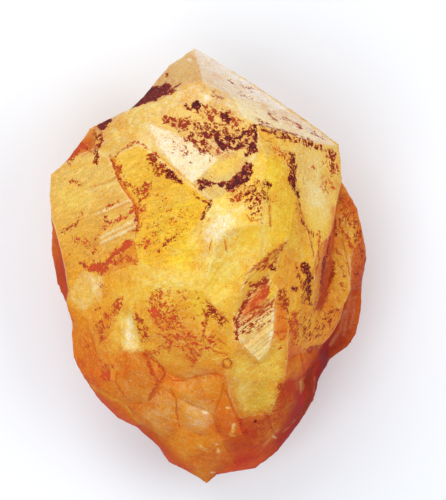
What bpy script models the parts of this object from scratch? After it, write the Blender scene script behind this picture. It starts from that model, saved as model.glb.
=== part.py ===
"""A heliodor: one stubby golden crystal, broken off its rock, lying on a flat prism face.

Run with blender --background --python part.py. Metres, +Z up, +Y towards the pointed end,
origin at the middle of the underside.

The stone is one closed surface. Its facets are polygons between named corners; each facet is
filled with small triangles, dished or swollen a little, and then roughened.
"""

from math import atan2, ceil, radians, sqrt, tan

import bmesh
import bpy
import numpy as np
from mathutils import Vector, noise
from mathutils.geometry import delaunay_2d_cdt

# Driving sizes, in millimetres. The corners below are laid out at this size.
WIDTH = 95.0
LENGTH = 131.0
THICKNESS = 71.0
MM = 0.001  # metres in a millimetre

# Size of the triangles on the side that shows and on the underside, in millimetres.
FRONT_STEP = 2.3
BACK_STEP = 4.2

# How far each kind of surface wanders from its facet, in millimetres.
ROUGHNESS = {
    "growth": 0.06,  # natural crystal face, nearly flat
    "riser": 0.06,  # small step between two growth faces
    "etched": 0.16,  # face eaten by the acid water in the clay
    "broken": 0.30,  # shell-shaped break
    "rest": 0.0,  # the flat prism face it lies on
}
WAVE_LENGTH = 6.0  # of the wandering, in millimetres
# How strongly each kind of facet is held flat, against keeping its corners at their own heights.
FLATNESS = {"growth": 6.0, "riser": 0.0, "etched": 1.2, "broken": 0.5}
SHARP_ANGLE = 11.0  # degrees between triangles, above which an edge is crisp

# Corners, in millimetres: across, towards the point, up.
CORNERS = {
    # The outline seen from above, clockwise from the apex.
    "rim00": (-4.0, 65.5, 38.0),
    "rim01": (14.0, 53.7, 41.0),
    "rim02": (24.0, 46.5, 43.5),
    "rim03": (31.5, 41.2, 45.5),
    "rim04": (38.3, 36.0, 48.0),
    "rim05": (39.2, 31.0, 46.0),
    "rim06": (39.5, 25.5, 41.0),
    "rim07": (44.5, 17.5, 35.0),
    "rim08": (46.5, 9.5, 33.0),
    "rim09": (47.5, 2.5, 30.0),
    "rim10": (46.8, -6.0, 28.0),
    "rim11": (46.8, -13.0, 26.0),
    "rim12": (45.2, -20.0, 24.0),
    "rim13": (42.8, -24.6, 22.0),
    "rim14": (38.3, -27.0, 20.0),
    "rim15": (33.8, -32.0, 20.0),
    "rim16": (32.0, -39.5, 19.0),
    "rim17": (28.5, -46.0, 18.0),
    "rim18": (20.5, -56.0, 17.0),
    "rim19": (14.5, -61.0, 16.0),
    "rim20": (2.5, -63.0, 17.0),
    "rim21": (-0.5, -65.5, 18.0),
    "rim22": (-6.5, -62.0, 18.0),
    "rim23": (-12.0, -59.0, 18.0),
    "rim24": (-16.5, -52.5, 19.0),
    "rim25": (-21.5, -48.5, 20.0),
    "rim26": (-27.5, -45.5, 22.0),
    "rim27": (-33.5, -39.5, 24.0),
    "rim28": (-37.5, -33.0, 26.0),
    "rim29": (-40.5, -27.0, 28.0),
    "rim30": (-41.0, -16.0, 30.0),
    "rim31": (-42.5, -10.5, 29.0),
    "rim32": (-45.5, -5.0, 24.0),
    "rim33": (-47.5, 5.5, 23.0),
    "rim34": (-47.0, 11.5, 27.0),
    "rim35": (-47.0, 16.0, 34.0),
    "rim36": (-47.5, 22.0, 35.5),
    "rim37": (-47.0, 28.0, 36.5),
    "rim38": (-42.5, 31.5, 39.0),
    "rim39": (-37.5, 38.0, 40.0),
    "rim40": (-35.0, 41.5, 40.0),
    "rim41": (-30.0, 44.0, 41.0),
    "rim42": (-23.0, 47.0, 44.0),
    "rim43": (-18.5, 51.5, 42.5),
    "rim44": (-17.0, 53.5, 41.5),
    "rim45": (-11.5, 60.5, 38.5),
    # The yoke between the two faces of the point and the plate.
    "crown": (-1.5, 55.0, 48.0),
    "yoke1": (-6.5, 54.5, 46.5),
    "yoke2": (-13.0, 50.0, 46.5),
    "yoke3": (7.0, 50.5, 48.5),
    "yoke4": (16.0, 49.0, 46.5),
    # The raised rhombic plate below the point, and the ledge along its lower left edge.
    "plate01": (-17.5, 43.0, 52.0),
    "plate02": (-7.0, 48.0, 52.0),
    "plate03": (-1.0, 48.5, 53.0),
    "plate04": (5.0, 45.5, 55.5),
    "plate05": (10.5, 44.0, 57.5),
    "plate06": (14.5, 42.0, 59.0),
    "plate07": (15.0, 37.0, 61.5),
    "plate08": (12.5, 33.0, 62.5),
    "plate09": (12.0, 26.5, 65.5),
    "plate10": (8.5, 23.5, 66.0),
    "plate11": (1.5, 20.0, 66.0),
    "plate12": (-16.5, 35.0, 55.5),
    "plate13": (-15.5, 38.5, 54.5),
    "ledge1": (-17.0, 34.5, 54.0),
    "ledge2": (1.0, 19.2, 64.0),
    # The brow along the upper left, and the long striated face below it.
    "brow1": (-28.0, 43.0, 44.5),
    "brow2": (-33.0, 40.5, 44.0),
    "brow3": (-33.5, 35.5, 46.0),
    "brow4": (-38.5, 33.5, 42.5),
    "peak1": (-28.0, 32.5, 50.5),
    "peak2": (-20.5, 36.5, 54.0),
    "left1": (-25.5, 25.5, 52.6),
    "left2": (-21.3, 19.6, 54.9),
    "left3": (-20.0, 14.0, 55.8),
    "left4": (-21.5, 8.5, 53.5),
    # The foot of the growth step down from the yellow face to the striated one.
    "step0": (-28.8, 32.2, 49.6),
    "step1": (-26.4, 24.9, 51.0),
    "step2": (-22.2, 19.0, 53.4),
    "step3": (-20.8, 13.8, 54.5),
    "left5": (-31.5, -2.5, 45.0),
    "left6": (-36.0, 0.0, 41.5),
    "edge1": (-45.0, 9.0, 35.0),
    "edge2": (-43.0, 1.0, 35.5),
    "edge3": (-42.0, -6.5, 34.0),
    "block1": (-31.0, -9.0, 44.0),
    "block2": (-33.5, -12.0, 42.0),
    "block3": (-36.5, -14.5, 38.5),
    # The deep yellow face and the swollen middle.
    "amber1": (-1.5, 14.0, 65.5),
    "amber2": (-3.0, 8.5, 64.0),
    "amber3": (-7.5, 2.0, 61.5),
    "amber4": (-14.0, 0.0, 58.0),
    "amber5": (-20.0, 2.0, 54.0),
    "centre0": (4.0, 11.0, 70.5),
    "centre1": (12.5, 24.0, 67.0),
    "centre2": (16.0, 25.0, 67.5),
    "centre3": (23.0, 19.0, 64.5),
    "centre4": (15.0, 1.5, 64.0),
    "centre5": (2.0, -10.5, 63.0),
    "centre6": (-1.5, -6.0, 62.5),
    "centre7": (15.0, 13.0, 69.0),
    # The upper right: a gold stripe and the pale face beyond it.
    "gold1": (17.0, 33.0, 64.0),
    "right00": (21.5, 40.0, 57.5),
    "right01": (27.5, 38.0, 55.5),
    "right02": (33.5, 36.5, 52.0),
    "right03": (24.5, 34.0, 60.0),
    "right04": (25.0, 23.5, 61.0),
    "right05": (27.0, 19.0, 59.5),
    "right06": (28.5, 11.0, 57.5),
    "right07": (31.0, 3.5, 53.0),
    "right08": (33.0, 7.5, 50.5),
    "right09": (35.5, 9.3, 47.5),
    "right10": (37.0, 13.0, 46.5),
    "right11": (38.0, 20.5, 45.5),
    # The groove between the main crystal and the smaller one on its right, and that one.
    "flute1": (31.0, -11.0, 46.5),
    "flute2": (27.5, -23.0, 45.0),
    "groove1": (34.5, 2.0, 45.0),
    "groove2": (33.5, -6.5, 42.0),
    "groove3": (31.5, -12.5, 40.5),
    "groove4": (37.0, 5.5, 36.5),
    "groove5": (36.0, -3.0, 34.0),
    "groove6": (34.0, -10.0, 35.0),
    "side1": (42.5, 3.5, 38.5),
    "side2": (42.5, -6.5, 36.5),
    "side3": (40.5, -11.5, 34.5),
    "side4": (33.0, -13.5, 37.5),
    "side5": (38.3, 19.5, 39.0),
    "side6": (37.5, 12.5, 38.5),
    "lobe1": (33.0, -24.0, 31.0),
    "lobe2": (36.5, -20.5, 31.0),
    "lobe3": (39.5, -15.5, 31.5),
    "heel": (28.5, -25.0, 39.5),
    # The pale blade set into the middle, and the strip and apron around it.
    "blade01": (22.5, 8.0, 63.0),
    "blade02": (12.5, 0.0, 63.5),
    "blade03": (9.5, -6.5, 62.0),
    "blade04": (17.5, -2.0, 61.0),
    "blade05": (12.0, -7.0, 59.0),
    "blade06": (9.0, -12.0, 58.5),
    "blade07": (7.5, -16.0, 58.0),
    "blade08": (9.0, -21.0, 56.5),
    "blade09": (12.5, -24.5, 54.5),
    "blade10": (15.0, -27.0, 53.0),
    "blade11": (17.5, -23.0, 53.5),
    "blade12": (19.0, -19.5, 54.0),
    "blade13": (19.5, -9.5, 57.0),
    "blade14": (20.5, -6.0, 59.0),
    "strip1": (23.0, -12.0, 55.5),
    "strip2": (23.5, -21.5, 51.5),
    "strip3": (23.5, -26.5, 48.0),
    "strip4": (22.5, -33.5, 43.5),
    "strip5": (20.0, -39.5, 41.0),
    "strip6": (18.5, -43.5, 38.5),
    "apron1": (5.5, -31.0, 50.0),
    "apron2": (16.0, -43.5, 41.5),
    "apron3": (9.5, -44.5, 42.5),
    "apron4": (6.5, -38.0, 46.5),
    # The ridge on the lower left and the mottled slope beside it.
    "ridge1": (-18.5, -7.0, 54.5),
    "ridge2": (-22.0, -13.0, 51.5),
    "ridge3": (-26.0, -10.5, 49.0),
    "ridge4": (-25.5, -23.0, 44.5),
    "ridge5": (-20.0, -24.5, 46.0),
    "slope1": (-5.5, -7.0, 60.5),
    "slope2": (5.0, -15.0, 60.5),
    "slope3": (-0.5, -20.0, 58.0),
    "slope4": (-13.0, -18.5, 52.5),
    "shelf1": (-27.0, -25.0, 43.0),
    "shelf2": (-17.5, -25.5, 46.5),
    "shelf3": (-12.5, -30.5, 43.5),
    "shelf4": (-7.0, -33.0, 43.5),
    "shelf5": (-0.5, -31.0, 47.5),
    "hip": (-33.5, -24.5, 37.0),
    # The broken lower end.
    "chin01": (-8.5, -48.0, 36.5),
    "chin03": (-3.0, -60.0, 25.5),
    "chin04": (-10.0, -55.0, 27.5),
    "chin05": (-13.0, -51.5, 29.0),
    "chin06": (-17.5, -48.5, 28.5),
    "chin07": (-20.5, -47.0, 27.5),
    "chin08": (-24.5, -40.5, 34.5),
    "chin09": (-32.5, -36.0, 33.0),
    "chin10": (-29.0, -33.5, 38.0),
    "chin11": (-14.0, -35.0, 42.0),
    "chin12": (-18.0, -40.0, 38.0),
    "chin13": (-9.5, -38.0, 42.5),
    "toe1": (12.0, -49.5, 36.5),
    "toe2": (4.0, -51.5, 35.0),
    "toe3": (1.5, -43.5, 40.5),
    "toe4": (4.0, -37.0, 45.5),
    "toe5": (2.0, -60.0, 25.0),
    "toe6": (8.0, -59.0, 24.0),
    "foot1": (31.5, -29.5, 31.0),
    "foot2": (29.0, -33.5, 31.5),
    "foot3": (29.0, -40.0, 27.0),
    "foot4": (24.5, -47.5, 27.0),
    "foot5": (19.0, -52.0, 27.0),
    # The sides, part of the way down.
    "under1": (-40.5, -4.0, 12.0),
    "under2": (-36.5, -26.0, 15.0),
    "under3": (-23.0, -44.5, 9.0),
    "under4": (-8.0, -56.5, 11.0),
    "under5": (9.0, -58.5, 7.5),
    "under6": (23.5, -45.0, 12.0),
    "under7": (34.0, -28.5, 8.0),
    "under8": (43.5, -4.0, 14.0),
    "under9": (41.0, 14.5, 20.0),
    # The flat prism face underneath.
    "base01": (-8.0, 44.0, 0.0),
    "base02": (10.0, 36.5, 0.0),
    "base03": (28.0, 24.0, 0.0),
    "base04": (33.0, -8.0, 0.0),
    "base05": (20.0, -38.0, 0.0),
    "base06": (0.0, -48.0, 0.0),
    "base07": (-20.0, -38.0, 0.0),
    "base08": (-33.0, -12.0, 0.0),
    "base09": (-34.0, 18.0, 0.0),
    "base10": (-21.0, 33.0, 0.0),
}

# Facets: kind of surface, dish in millimetres (negative swells outwards), corners in order.
FACETS = [
    # The point.
    ("growth", 0.0, "rim00 crown yoke1 yoke2 rim42 rim43 rim44 rim45"),
    ("growth", 0.0, "rim00 rim01 rim02 yoke4 yoke3 crown"),
    ("growth", 0.0, "yoke3 yoke4 rim02 rim03 rim04 right02 right01 right00 plate06 plate05"),
    ("etched", 0.4, "rim42 yoke2 yoke1 crown yoke3 plate05 plate04 plate03 plate02 plate01"),
    # The plate and its ledge.
    ("growth", 0.0, "plate01 plate02 plate03 plate04 plate05 plate06 plate07 plate08 plate09 "
                    "plate10 plate11 plate12 plate13"),
    ("riser", 0.0, "plate12 plate11 ledge2 ledge1"),
    # The upper left.
    ("etched", -0.7, "rim42 plate01 plate13 plate12 ledge1 peak2 peak1 step0 brow3 brow2 brow1"),
    ("etched", 0.5, "rim41 rim42 brow1"),
    ("etched", 0.5, "rim40 rim41 brow1 brow2"),
    ("broken", 0.9, "rim39 rim40 brow2 brow3"),
    ("broken", 0.8, "rim38 rim39 brow3 brow4"),
    ("growth", 0.0, "rim37 rim38 brow4 brow3 step0 step1 step2 step3 left4 left5 left6 edge3 "
                    "edge2 edge1 rim35 rim36"),
    ("growth", 0.2, "left6 left5 block1 block2 block3 rim31 edge3"),
    ("broken", -1.1, "rim35 edge1 edge2 edge3 rim31 rim32 rim33 rim34"),
    ("growth", 0.0, "peak1 peak2 ledge1 ledge2 amber1 amber2 amber3 amber4 amber5 left4 left3 "
                    "left2 left1"),
    ("riser", 0.0, "step0 peak1 left1 step1"),
    ("riser", 0.0, "step1 left1 left2 step2"),
    ("riser", 0.0, "step2 left2 left3 step3"),
    ("riser", 0.0, "step3 left3 left4"),
    # The swollen middle.
    ("etched", -0.5, "plate11 plate10 centre1 centre2 centre7 centre0"),
    ("etched", -0.5, "plate11 centre0 centre6 amber3 amber2 amber1 ledge2"),
    ("etched", -0.9, "centre0 centre7 centre4 blade02 blade03 centre5 centre6"),
    ("etched", 0.4, "centre2 centre3 blade01 centre4 centre7"),
    # The upper right.
    ("etched", 0.4, "plate06 right00 right01 right03 gold1 plate07"),
    ("etched", 0.5, "plate07 gold1 centre2 centre1 plate10 plate09 plate08"),
    ("growth", 0.2, "gold1 right03 right04 centre3 centre2"),
    ("growth", 0.2, "centre3 right04 right05 right06 blade01"),
    ("growth", 0.0, "right01 right02 rim04 rim05 rim06 right11 right10 right09 right08 right07 "
                    "right06 right05 right04 right03"),
    # The blade and what lies round it.
    ("growth", 0.3, "centre4 blade01 blade04 blade05 blade06 blade07 blade03 blade02"),
    ("growth", 0.3, "blade04 blade14 blade13 blade12 blade11 blade10 blade09 blade08 blade07 "
                    "blade06 blade05"),
    ("etched", 0.4, "blade14 strip1 strip2 blade11 blade12 blade13"),
    ("etched", 0.5, "blade01 right06 right07 flute1 flute2 strip2 strip1 blade14 blade04"),
    ("etched", 0.4, "right07 right08 right09 groove1 groove2 groove3 flute1"),
    # The groove and the smaller crystal.
    ("broken", 0.9, "right09 groove4 groove5 groove6 groove3 groove2 groove1"),
    ("riser", 0.0, "rim06 side5 side6 groove4 right09 right10 right11"),
    ("etched", 0.0, "rim06 rim07 rim08 side1 groove4 side6 side5"),
    ("etched", 0.5, "side1 rim08 rim09 rim10 side2"),
    ("etched", 0.5, "groove4 side1 side2 side3 side4 groove6 groove5"),
    ("broken", -2.3, "side2 rim10 rim11 rim12 rim13 rim14 lobe1 lobe2 lobe3 side3"),
    ("etched", 0.5, "groove3 groove6 side4 side3 lobe3 lobe2 lobe1 heel flute2 flute1"),
    # The lower right.
    ("etched", 0.4, "flute2 heel strip3 strip2"),
    ("broken", 0.9, "strip3 heel foot1 foot2 strip4"),
    ("broken", 1.5, "heel lobe1 rim14 rim15 rim16 rim17 foot3 foot2 foot1"),
    ("broken", 1.7, "strip4 foot2 foot3 foot4 foot5 strip6 strip5"),
    ("broken", 0.9, "foot3 rim17 rim18 foot5 foot4"),
    ("etched", -0.7, "apron1 blade08 blade09 blade10 blade11 strip2 strip3 strip4 strip5 strip6 "
                     "apron2 apron3 apron4"),
    ("broken", 1.3, "apron1 apron4 apron3 toe1 toe2 toe3 toe4"),
    ("broken", 1.7, "apron3 apron2 strip6 foot5 rim18 rim19 toe6 toe2 toe1"),
    ("broken", 0.8, "toe6 rim19 rim20 toe5"),
    # The lower left.
    ("etched", 0.5, "left5 amber5 amber4 ridge1 ridge2 ridge3 block1"),
    ("growth", 0.2, "left5 left4 amber5"),
    ("etched", -0.7, "ridge3 ridge2 ridge5 ridge4"),
    ("etched", 0.7, "block1 ridge3 ridge4 shelf1 chin10 hip block3 block2"),
    ("etched", 0.5, "amber4 amber3 centre6 slope1 ridge1"),
    ("etched", 0.5, "ridge1 slope1 slope4 ridge5 ridge2"),
    ("etched", 0.0, "slope1 centre6 centre5 slope2 slope3 slope4"),
    ("etched", 0.4, "slope4 slope3 apron1 shelf5 shelf4 shelf3 shelf2 ridge5"),
    ("etched", 0.4, "centre5 blade03 blade07 blade08 apron1 slope3 slope2"),
    ("broken", 0.6, "rim31 block3 hip chin10 chin09 rim28 rim29 rim30"),
    # The broken lower end.
    ("broken", 1.5, "shelf1 ridge4 ridge5 shelf2 chin11 chin12 chin08 chin09 chin10"),
    ("broken", 0.6, "shelf2 shelf3 chin11"),
    ("broken", 1.5, "shelf3 shelf4 shelf5 apron1 toe4 toe3 chin13 chin11"),
    ("broken", 1.1, "chin13 toe3 toe2 chin01"),
    ("broken", 1.7, "chin11 chin13 chin01 chin05 chin06 chin07 chin08 chin12"),
    ("broken", 1.3, "chin01 toe2 toe6 toe5 rim20 rim21 rim22 chin03 chin04 chin05"),
    ("broken", 1.1, "rim28 chin09 chin08 chin07 rim25 rim26 rim27"),
    ("broken", 1.1, "rim25 chin07 chin06 chin05 chin04 chin03 rim22 rim23 rim24"),
]

# The same for the sides and the underside, filled with larger triangles.
BACK_FACETS = [
    ("growth", 0.2, "rim00 rim01 rim02 rim03 rim04 rim05 base03 base02 base01"),
    ("growth", 0.2, "rim42 rim43 rim44 rim45 rim00 base01 base10"),
    ("etched", 0.8, "rim40 rim41 rim42 base10"),
    ("growth", 0.2, "rim36 rim37 rim38 rim39 rim40 base10 base09"),
    ("growth", 0.2, "rim31 rim32 rim33 rim34 rim35 rim36 base09 under1"),
    ("growth", 0.2, "under1 base09 base08"),
    ("broken", 0.8, "rim29 rim30 rim31 under1 under2"),
    ("broken", 0.6, "under2 under1 base08"),
    ("broken", 1.0, "rim26 rim27 rim28 rim29 under2 under3"),
    ("broken", 0.8, "under3 under2 base08 base07"),
    ("broken", 1.0, "rim22 rim23 rim24 rim25 rim26 under3 under4"),
    ("broken", 0.8, "under4 under3 base07 base06"),
    ("broken", 0.8, "rim19 rim20 rim21 rim22 under4 under5"),
    ("broken", 0.5, "under5 under4 base06"),
    ("broken", 1.2, "rim16 rim17 rim18 rim19 under5 under6"),
    ("broken", 0.8, "under6 under5 base06 base05"),
    ("broken", 0.8, "rim14 rim15 rim16 under6 under7"),
    ("broken", 0.5, "under7 under6 base05 base04"),
    ("broken", -0.8, "rim09 rim10 rim11 rim12 rim13 rim14 under7 under8"),
    ("broken", 0.8, "under8 under7 base04"),
    ("etched", -0.6, "rim06 rim07 rim08 rim09 under8 under9"),
    ("etched", 0.4, "under9 under8 base04 base03"),
    ("growth", 0.2, "rim05 rim06 under9 base03"),
    ("rest", 0.0, "base01 base02 base03 base04 base05 base06 base07 base08 base09 base10"),
]


class Surface:
    """The points and triangles of the stone, with how rough the stone is at each point."""

    def __init__(self):
        self.points = []
        self.rough = []
        self.triangles = []
        self.corner_index = {}
        self.edge_index = {}
        self.heights = level_corners()

    def add(self, point, rough):
        self.points.append(point)
        self.rough.append([rough])
        return len(self.points) - 1

    def corner(self, name):
        if name not in self.corner_index:
            x, y, z = CORNERS[name]
            spot = Vector((x, y, self.heights.get(name, z)))
            self.corner_index[name] = self.add(spot, ROUGHNESS["growth"])
        return self.corner_index[name]

    def edge(self, first, last, step):
        """Points from one corner up to the next, shared by the two facets that meet there."""
        key = tuple(sorted((first, last)))
        if key not in self.edge_index:
            low, high = (self.points[self.corner(name)] for name in key)
            pieces = max(1, ceil((high - low).length / step))
            inner = [self.add(low.lerp(high, n / pieces), 0.0) for n in range(1, pieces)]
            self.edge_index[key] = inner
        inner = self.edge_index[key]
        return [self.corner(first)] + (inner if first == key[0] else inner[::-1])


def level_corners():
    """Heights of the front corners, moved as little as makes the growth faces flat."""
    names = sorted({name for _, _, facet in FACETS for name in facet.split()})
    column = {name: n for n, name in enumerate(names)}
    rows = []
    targets = []
    for name in names:
        row = np.zeros(len(names) + 3 * len(FACETS))
        row[column[name]] = 1.0
        rows.append(row)
        targets.append(CORNERS[name][2])
    for n, (kind, _, facet) in enumerate(FACETS):
        plane = len(names) + 3 * n
        for name in facet.split():
            row = np.zeros(len(names) + 3 * len(FACETS))
            row[column[name]] = -FLATNESS[kind]
            x, y, _ = CORNERS[name]
            row[plane:plane + 3] = FLATNESS[kind] * np.array((x / LENGTH, y / LENGTH, 1.0))
            rows.append(row)
            targets.append(0.0)
    solved = np.linalg.lstsq(np.array(rows), np.array(targets), rcond=None)[0]
    return {name: float(solved[column[name]]) for name in names}


def facet_axes(points):
    """Middle of a facet, and two directions in it and one out of it."""
    middle = sum(points, Vector()) / len(points)
    out = Vector()
    for here, after in zip(points, points[1:] + points[:1]):
        out += (here - middle).cross(after - middle)
    out.normalize()
    along = (points[1] - points[0]).normalized()
    along = (along - out * along.dot(out)).normalized()
    return middle, along, out.cross(along), out


def distance_to_edge(spot, start, end):
    line = end - start
    share = max(0.0, min(1.0, (spot - start).dot(line) / line.length_squared))
    return (spot - start - line * share).length


def inside(spot, outline):
    """True if a flat spot is inside a closed outline."""
    crossings = 0
    for a, b in zip(outline, outline[1:] + outline[:1]):
        if (a.y > spot.y) != (b.y > spot.y):
            crossings += spot.x < a.x + (spot.y - a.y) * (b.x - a.x) / (b.y - a.y)
    return crossings % 2 == 1


def blended_height(spot, outline, heights):
    """Height at a flat spot, blended smoothly from the heights round it (mean value weights)."""
    total = weighted = 0.0
    rays = [point - spot for point in outline]
    half_turns = []
    for a, b in zip(rays, rays[1:] + rays[:1]):
        half_turns.append(tan(atan2(a.x * b.y - a.y * b.x, a.dot(b)) / 2))
    for n, ray in enumerate(rays):
        weight = (half_turns[n - 1] + half_turns[n]) / ray.length
        total += weight
        weighted += weight * heights[n]
    return weighted / total


def inner_spots(outline, corners, step):
    """Spots on a triangular grid inside a facet, clear of its edges."""
    low = Vector((min(p.x for p in outline), min(p.y for p in outline)))
    high = Vector((max(p.x for p in outline), max(p.y for p in outline)))
    row_step = step * sqrt(3) / 2
    spots = []
    for row in range(int((high.y - low.y) / row_step) + 1):
        shift = step / 2 if row % 2 else 0.0
        for column in range(int((high.x - low.x) / step) + 2):
            spot = low + Vector((column * step + shift, (row + 0.5) * row_step))
            if not inside(spot, outline):
                continue
            gaps = [distance_to_edge(spot, a, b) for a, b in zip(corners, corners[1:] + corners[:1])]
            if min(gaps) > 0.55 * step:
                spots.append((spot, gaps))
    return spots


def fill_facet(surface, kind, dish, names, step):
    """Fills one facet with triangles, and presses it in by the dish."""
    loop = []
    for first, last in zip(names, names[1:] + names[:1]):
        loop += surface.edge(first, last, step)
    for index in loop:
        surface.rough[index].append(ROUGHNESS[kind])
    ring = [surface.points[index] for index in loop]
    middle, along, across, out = facet_axes([surface.points[surface.corner(n)] for n in names])

    def flat(point):
        return Vector(((point - middle).dot(along), (point - middle).dot(across)))

    outline = [flat(point) for point in ring]
    corners = [flat(surface.points[surface.corner(name)]) for name in names]
    heights = [(point - middle).dot(out) for point in ring]
    spots = inner_spots(outline, corners, step)
    half_width = max((min(gaps) for _, gaps in spots), default=step)
    for spot, gaps in spots:
        near = sum(gap**-4 for gap in gaps) ** -0.25 / half_width
        depth = dish * near * (2 - near)
        height = blended_height(spot, outline, heights) - depth
        point = middle + along * spot.x + across * spot.y + out * height
        loop.append(surface.add(point, ROUGHNESS[kind]))
    flat_points = outline + [spot for spot, _ in spots]
    border = list(range(len(outline)))
    _, _, faces, origins, _, _ = delaunay_2d_cdt(flat_points, [], [border], 1, 1e-6)
    for face in faces:
        surface.triangles.append([loop[origins[corner][0]] for corner in face])


def roughen(surface):
    """Wanders each point by smooth noise, as far as its facets' kinds allow; the rest face stays."""
    for index, point in enumerate(surface.points):
        kinds = surface.rough[index]
        if 0.0 in kinds[1:] and point.z == 0.0 or kinds == [0.0]:
            continue
        amount = sum(kinds[1:] or kinds) / len(kinds[1:] or kinds)
        surface.points[index] = point + amount * noise.noise_vector(point / WAVE_LENGTH)


def fit_to_size(surface):
    """Stretches the last fraction of a millimetre to the driving sizes, and centres the stone."""
    for axis, size in enumerate((WIDTH, LENGTH, THICKNESS)):
        values = [point[axis] for point in surface.points]
        low, high = min(values), max(values)
        origin = low if axis == 2 else (low + high) / 2
        for point in surface.points:
            point[axis] = (point[axis] - origin) * size / (high - low)


def heliodor_material():
    """Translucent golden beryl, clouded inside."""
    material = bpy.data.materials.new("heliodor")
    material.use_nodes = True
    shader = material.node_tree.nodes["Principled BSDF"]
    shader.inputs["Base Color"].default_value = (0.78, 0.44, 0.07, 1.0)
    shader.inputs["Roughness"].default_value = 0.3
    shader.inputs["IOR"].default_value = 1.57
    shader.inputs["Transmission Weight"].default_value = 0.4
    return material


def build_crystal():
    surface = Surface()
    for facets, step in ((FACETS, FRONT_STEP), (BACK_FACETS, BACK_STEP)):
        for kind, dish, names in facets:
            fill_facet(surface, kind, dish, names.split(), step)
    roughen(surface)
    fit_to_size(surface)
    mesh = bpy.data.meshes.new("heliodor_crystal")
    mesh.from_pydata([point * MM for point in surface.points], [], surface.triangles)
    work = bmesh.new()
    work.from_mesh(mesh)
    bmesh.ops.recalc_face_normals(work, faces=work.faces)
    work.to_mesh(mesh)
    work.free()
    mesh.shade_smooth()
    mesh.set_sharp_from_angle(angle=radians(SHARP_ANGLE))
    mesh.materials.append(heliodor_material())
    crystal = bpy.data.objects.new("heliodor_crystal", mesh)
    bpy.context.scene.collection.objects.link(crystal)
    return crystal


def main():
    for old in list(bpy.data.objects):
        bpy.data.objects.remove(old)
    build_crystal()


main()
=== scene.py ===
import math

import bmesh
import bpy
import numpy as np
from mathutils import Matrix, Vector, noise


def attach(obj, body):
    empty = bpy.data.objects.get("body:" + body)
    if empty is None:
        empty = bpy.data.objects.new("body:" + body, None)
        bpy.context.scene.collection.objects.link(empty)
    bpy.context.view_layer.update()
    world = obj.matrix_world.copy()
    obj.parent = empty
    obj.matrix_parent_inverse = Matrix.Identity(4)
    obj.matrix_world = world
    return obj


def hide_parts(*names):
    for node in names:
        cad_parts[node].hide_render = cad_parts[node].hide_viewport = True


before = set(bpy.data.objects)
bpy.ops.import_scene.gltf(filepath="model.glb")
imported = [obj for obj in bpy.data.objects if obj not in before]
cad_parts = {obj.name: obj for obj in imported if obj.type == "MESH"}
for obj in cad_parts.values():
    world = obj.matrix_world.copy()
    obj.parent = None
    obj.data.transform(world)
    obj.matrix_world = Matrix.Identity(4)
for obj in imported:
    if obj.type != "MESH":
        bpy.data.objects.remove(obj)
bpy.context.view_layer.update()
mm = 0.001

# Everything below is laid out in millimetres, seen from above: across, and towards the point.
crystal = {
    "node": "heliodor_crystal",
    "cuts": 4,  # new corners along each edge of the plain solid
    "weld": 1e-7,  # metres, within which two corners are one
    "sharpAngle": 18,  # degrees, above which an edge of the sides stays crisp
    "faceAngle": 4,  # the same, where two named faces meet
    "smoothing": 14,  # rounds of smoothing inside a face
    "restHeight": 0.2,  # below this the stone lies on the table and isn't smoothed
    "reliefHeight": 3,  # the relief fades in from the table up to here
    "edgeWear": 0.14,  # how far the ridges are worn down
    "wearSize": 3.0,  # length over which the wear comes and goes
    "ridgeHeight": 0.15,  # how far a full ridge stands out from the stone round it
}


def toLinear(hexColour):
    # sRGB hex to the linear red, green and blue that Blender works in
    values = [int(hexColour[n:n + 2], 16) / 255 for n in (1, 3, 5)]
    return [v / 12.92 if v <= 0.04045 else ((v + 0.055) / 1.055) ** 2.4 for v in values]


def addNode(tree, kind, settings=None, links=None):
    # adds one node; settings are its properties and input values, links feed its inputs
    node = tree.nodes.new(kind)
    for name, value in (settings or {}).items():
        if isinstance(name, str) and hasattr(node, name):
            setattr(node, name, value)
        else:
            node.inputs[name].default_value = value
    for name, socket in (links or {}).items():
        tree.links.new(socket, node.inputs[name])
    return node


def smoothStep(low, high, value):
    t = np.clip((value - low) / (high - low), 0, 1)
    return t * t * (3 - 2 * t)


def turned(angle, x, y):
    # how far along a direction, and how far across it; the angle is in degrees
    turn = math.radians(angle)
    along = math.cos(turn) * x + math.sin(turn) * y
    across = math.cos(turn) * y - math.sin(turn) * x
    return along, across


def lineGap(x, y, points):
    # distance to a line of points, positive on its left
    gap = np.full(x.shape, 1e9)
    side = np.ones(x.shape)
    for (ax, ay), (bx, by) in zip(points, points[1:]):
        dx, dy = bx - ax, by - ay
        share = np.clip(((x - ax) * dx + (y - ay) * dy) / (dx * dx + dy * dy), 0, 1)
        here = np.hypot(x - ax - share * dx, y - ay - share * dy)
        left = dx * (y - ay) - dy * (x - ax)
        side = np.where(here < gap, np.where(left < 0, -1, 1), side)
        gap = np.minimum(gap, here)
    return side * gap


def insideGap(x, y, points):
    # distance to the outline of a patch, positive inside it
    closed = points + points[:1]
    gap = np.abs(lineGap(x, y, closed))
    crossings = np.zeros(x.shape, int)
    for (ax, ay), (bx, by) in zip(points, closed[1:]):
        if ay != by:
            crossings += ((ay > y) != (by > y)) & (x < ax + (y - ay) * (bx - ax) / (by - ay))
    return np.where(crossings % 2 == 1, gap, -gap)


def coverOf(points, width, soft, x, y):
    # 0 to 1: within the width of a line, or inside an area where the width is 0
    gap = width - np.abs(lineGap(x, y, points)) if width else insideGap(x, y, points)
    return smoothStep(-soft, soft, gap)


def wander(places, size, seed, octaves=3):
    # smooth noise from about -1 to 1, with features of the given size in mm
    shift = Vector((seed * 17.3, seed * 5.1, seed * 9.7))
    found = [noise.fractal(Vector(p) / size + shift, 0.8, 2.0, octaves) for p in places]
    return np.array(found)


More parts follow.
